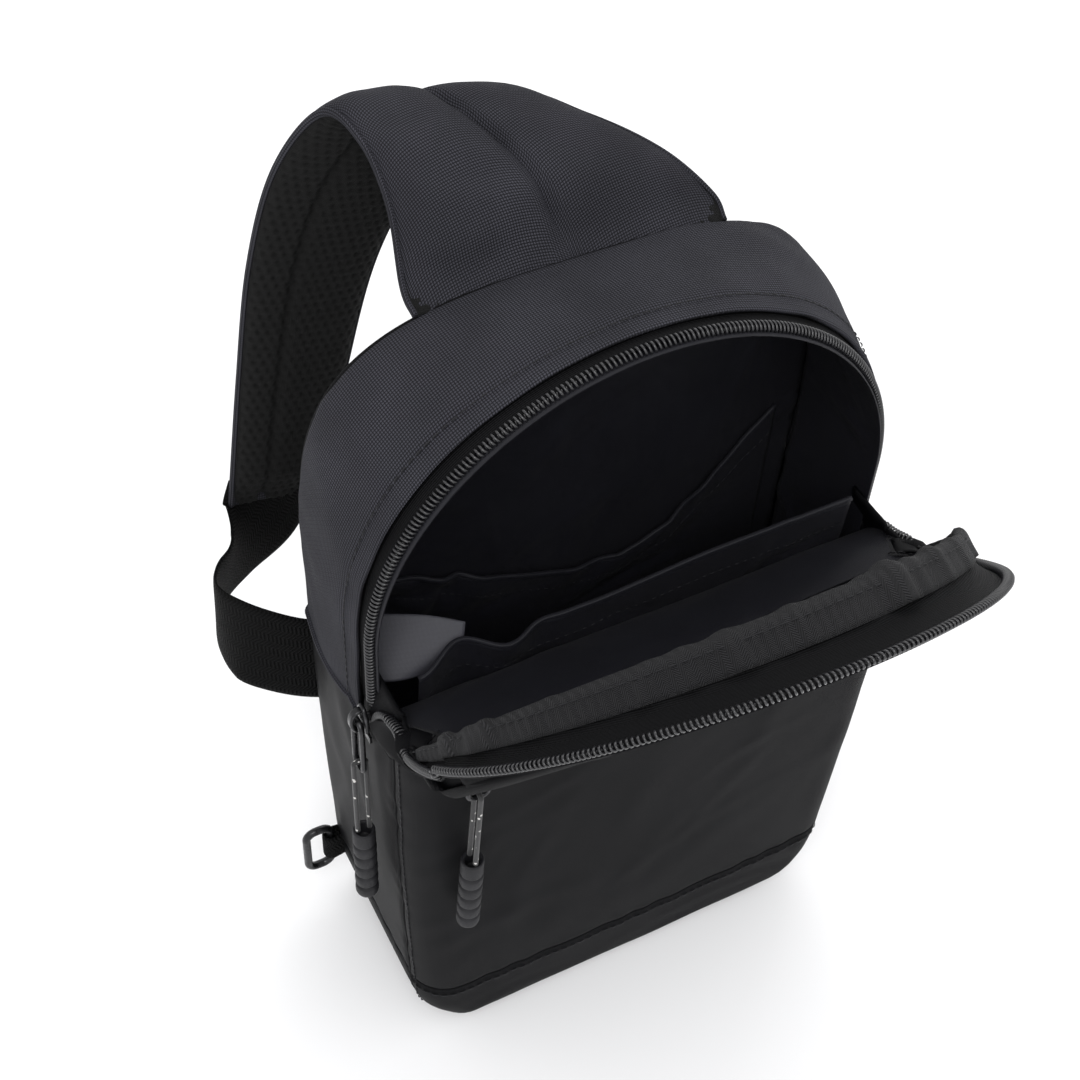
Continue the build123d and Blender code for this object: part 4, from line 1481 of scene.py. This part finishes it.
def make_pull(name, out):
    """The slider, ring, folded cord and barrel of one zip pull."""
    hang = np.array(joint(f"ring_{name}_swing")["pos_m"]) / MM
    fold = np.array(joint(f"pull_{name}_swing")["pos_m"]) / MM
    out = np.array(out, float)
    lean = unit(fold - hang)
    side = unit(np.cross(lean, out))
    at = hang - out * 4.1
    make_slider(name, at, out, side)
    top = fold + lean * 36.0
    barrel = make_barrel(name, top, lean, side)
    spread = unit(out - lean * np.dot(out, lean)) * 2.2
    route = [top + spread, top - lean * 12.0 + spread, top - lean * 24.0 + spread, fold + spread,
             fold + spread - lean * 2.25, fold - spread - lean * 2.25, fold - spread,
             top - lean * 24.0 - spread, top - lean * 12.0 - spread, top - spread]
    curve = bpy.data.curves.new("cord_" + name, "CURVE")
    curve.dimensions = "3D"
    spline = curve.splines.new("NURBS")
    spline.points.add(len(route) - 1)
    for point, place_mm in zip(spline.points, route):
        point.co = (*(place_mm * MM), 1)
    spline.order_u = 3
    spline.use_endpoint_u = True
    spline.resolution_u = 12
    curve.bevel_depth = 0.9 * MM
    curve.bevel_resolution = 4
    curve.use_fill_caps = True
    curve.materials.append(CORD)
    cord = bpy.data.objects.new("cord_" + name, curve)
    bpy.context.collection.objects.link(cord)
    place(cord, "pull_" + name, "fleck_cord", "pull_cord_" + name)


def dress_cad():
    """Materials for the CAD parts that stay as they are."""
    looks = {"snap_hook": METAL, "snap_hook_gate": METAL, "strap_adjuster": PLASTIC, "d_ring_left": METAL,
             "d_ring_right": METAL, "pull_ring_left": METAL, "pull_ring_right": METAL,
             "pull_ring_pocket": METAL, "zip_end_stops": METAL, "base_board": BOARD}
    for node, material in looks.items():
        mesh = frame["nodes"][node].data
        mesh.materials.clear()
        mesh.materials.append(material)


# ---- camera, floor and light ----
def make_camera():
    """The photograph's viewpoint: its angles, lens and place were fitted to the bag's outline."""
    azimuth = math.radians(-30.0)
    elevation = math.radians(49.8)
    roll = math.radians(3.8)
    back = Vector((math.sin(azimuth) * math.cos(elevation), -math.cos(azimuth) * math.cos(elevation),
                   math.sin(elevation)))
    right = Vector((math.cos(azimuth), math.sin(azimuth), 0))
    up = back.cross(right)
    rolled_right = right * math.cos(roll) + up * math.sin(roll)
    rolled_up = up * math.cos(roll) - right * math.sin(roll)
    data = bpy.data.cameras.new("camera")
    data.sensor_width = 36.0
    data.lens = 61.4
    data.clip_end = 50.0
    camera = bpy.data.objects.new("camera", data)
    camera.matrix_world = (Matrix.Translation((-0.2188, -0.3277, 0.6767))
                           @ Matrix((rolled_right, rolled_up, back)).transposed().to_4x4())
    bpy.context.collection.objects.link(camera)
    bpy.context.scene.camera = camera


def make_floor():
    paint = Paint("studio_floor", 0.9, Specular_IOR_Level=0.1)
    paint.shader.inputs["Base Color"].default_value = (0.93, 0.93, 0.94, 1)
    mesh = bpy.data.meshes.new("floor")
    reach = 12.0
    level = -0.0004
    corner_points = [(x * reach, y * reach, level) for x, y in ((-1, -1), (1, -1), (1, 1), (-1, 1))]
    mesh.from_pydata(corner_points, [], [(0, 1, 2, 3)])
    mesh.materials.append(paint.material)
    floor = bpy.data.objects.new("floor", mesh)
    bpy.context.collection.objects.link(floor)


def area_light(name, place_m, target, size, power):
    data = bpy.data.lights.new(name, "AREA")
    data.shape = "SQUARE"
    data.size = size
    data.energy = power
    light = bpy.data.objects.new(name, data)
    light.location = place_m
    light.rotation_mode = "QUATERNION"
    light.rotation_quaternion = (Vector(target) - Vector(place_m)).to_track_quat("-Z", "Y")
    bpy.context.collection.objects.link(light)


def make_lights():
    """Even white studio light, with three soft boxes for shape. Standard keeps the blacks black."""
    world = bpy.data.worlds.new("studio")
    world.use_nodes = True
    world.node_tree.nodes["Background"].inputs["Color"].default_value = (1, 1, 1, 1)
    world.node_tree.nodes["Background"].inputs["Strength"].default_value = 1.0
    bpy.context.scene.world = world
    bpy.context.scene.view_settings.view_transform = "Standard"
    middle = (0, 0, 0.16)
    area_light("key", (-0.6, -0.9, 1.5), middle, 0.9, 12.0)
    area_light("fill", (1.3, -0.6, 0.9), middle, 1.0, 2.0)
    area_light("rim", (0.7, 1.0, 1.3), middle, 0.9, 5.0)


make_camera()
make_pull("left", (-1, 0, 0))
make_pull("right", (1, 0, 0))
make_pull("pocket", (0, -1, 0))
make_lower_body()
make_gusset()
make_back()
make_body_zip()
make_inside()
make_flap_face()
make_flap_lining()
make_rim()
make_pocket_zip()
make_strap()
make_webbing()
make_tab("left", -1)
make_tab("right", 1)
dress_cad()
make_floor()
make_lights()
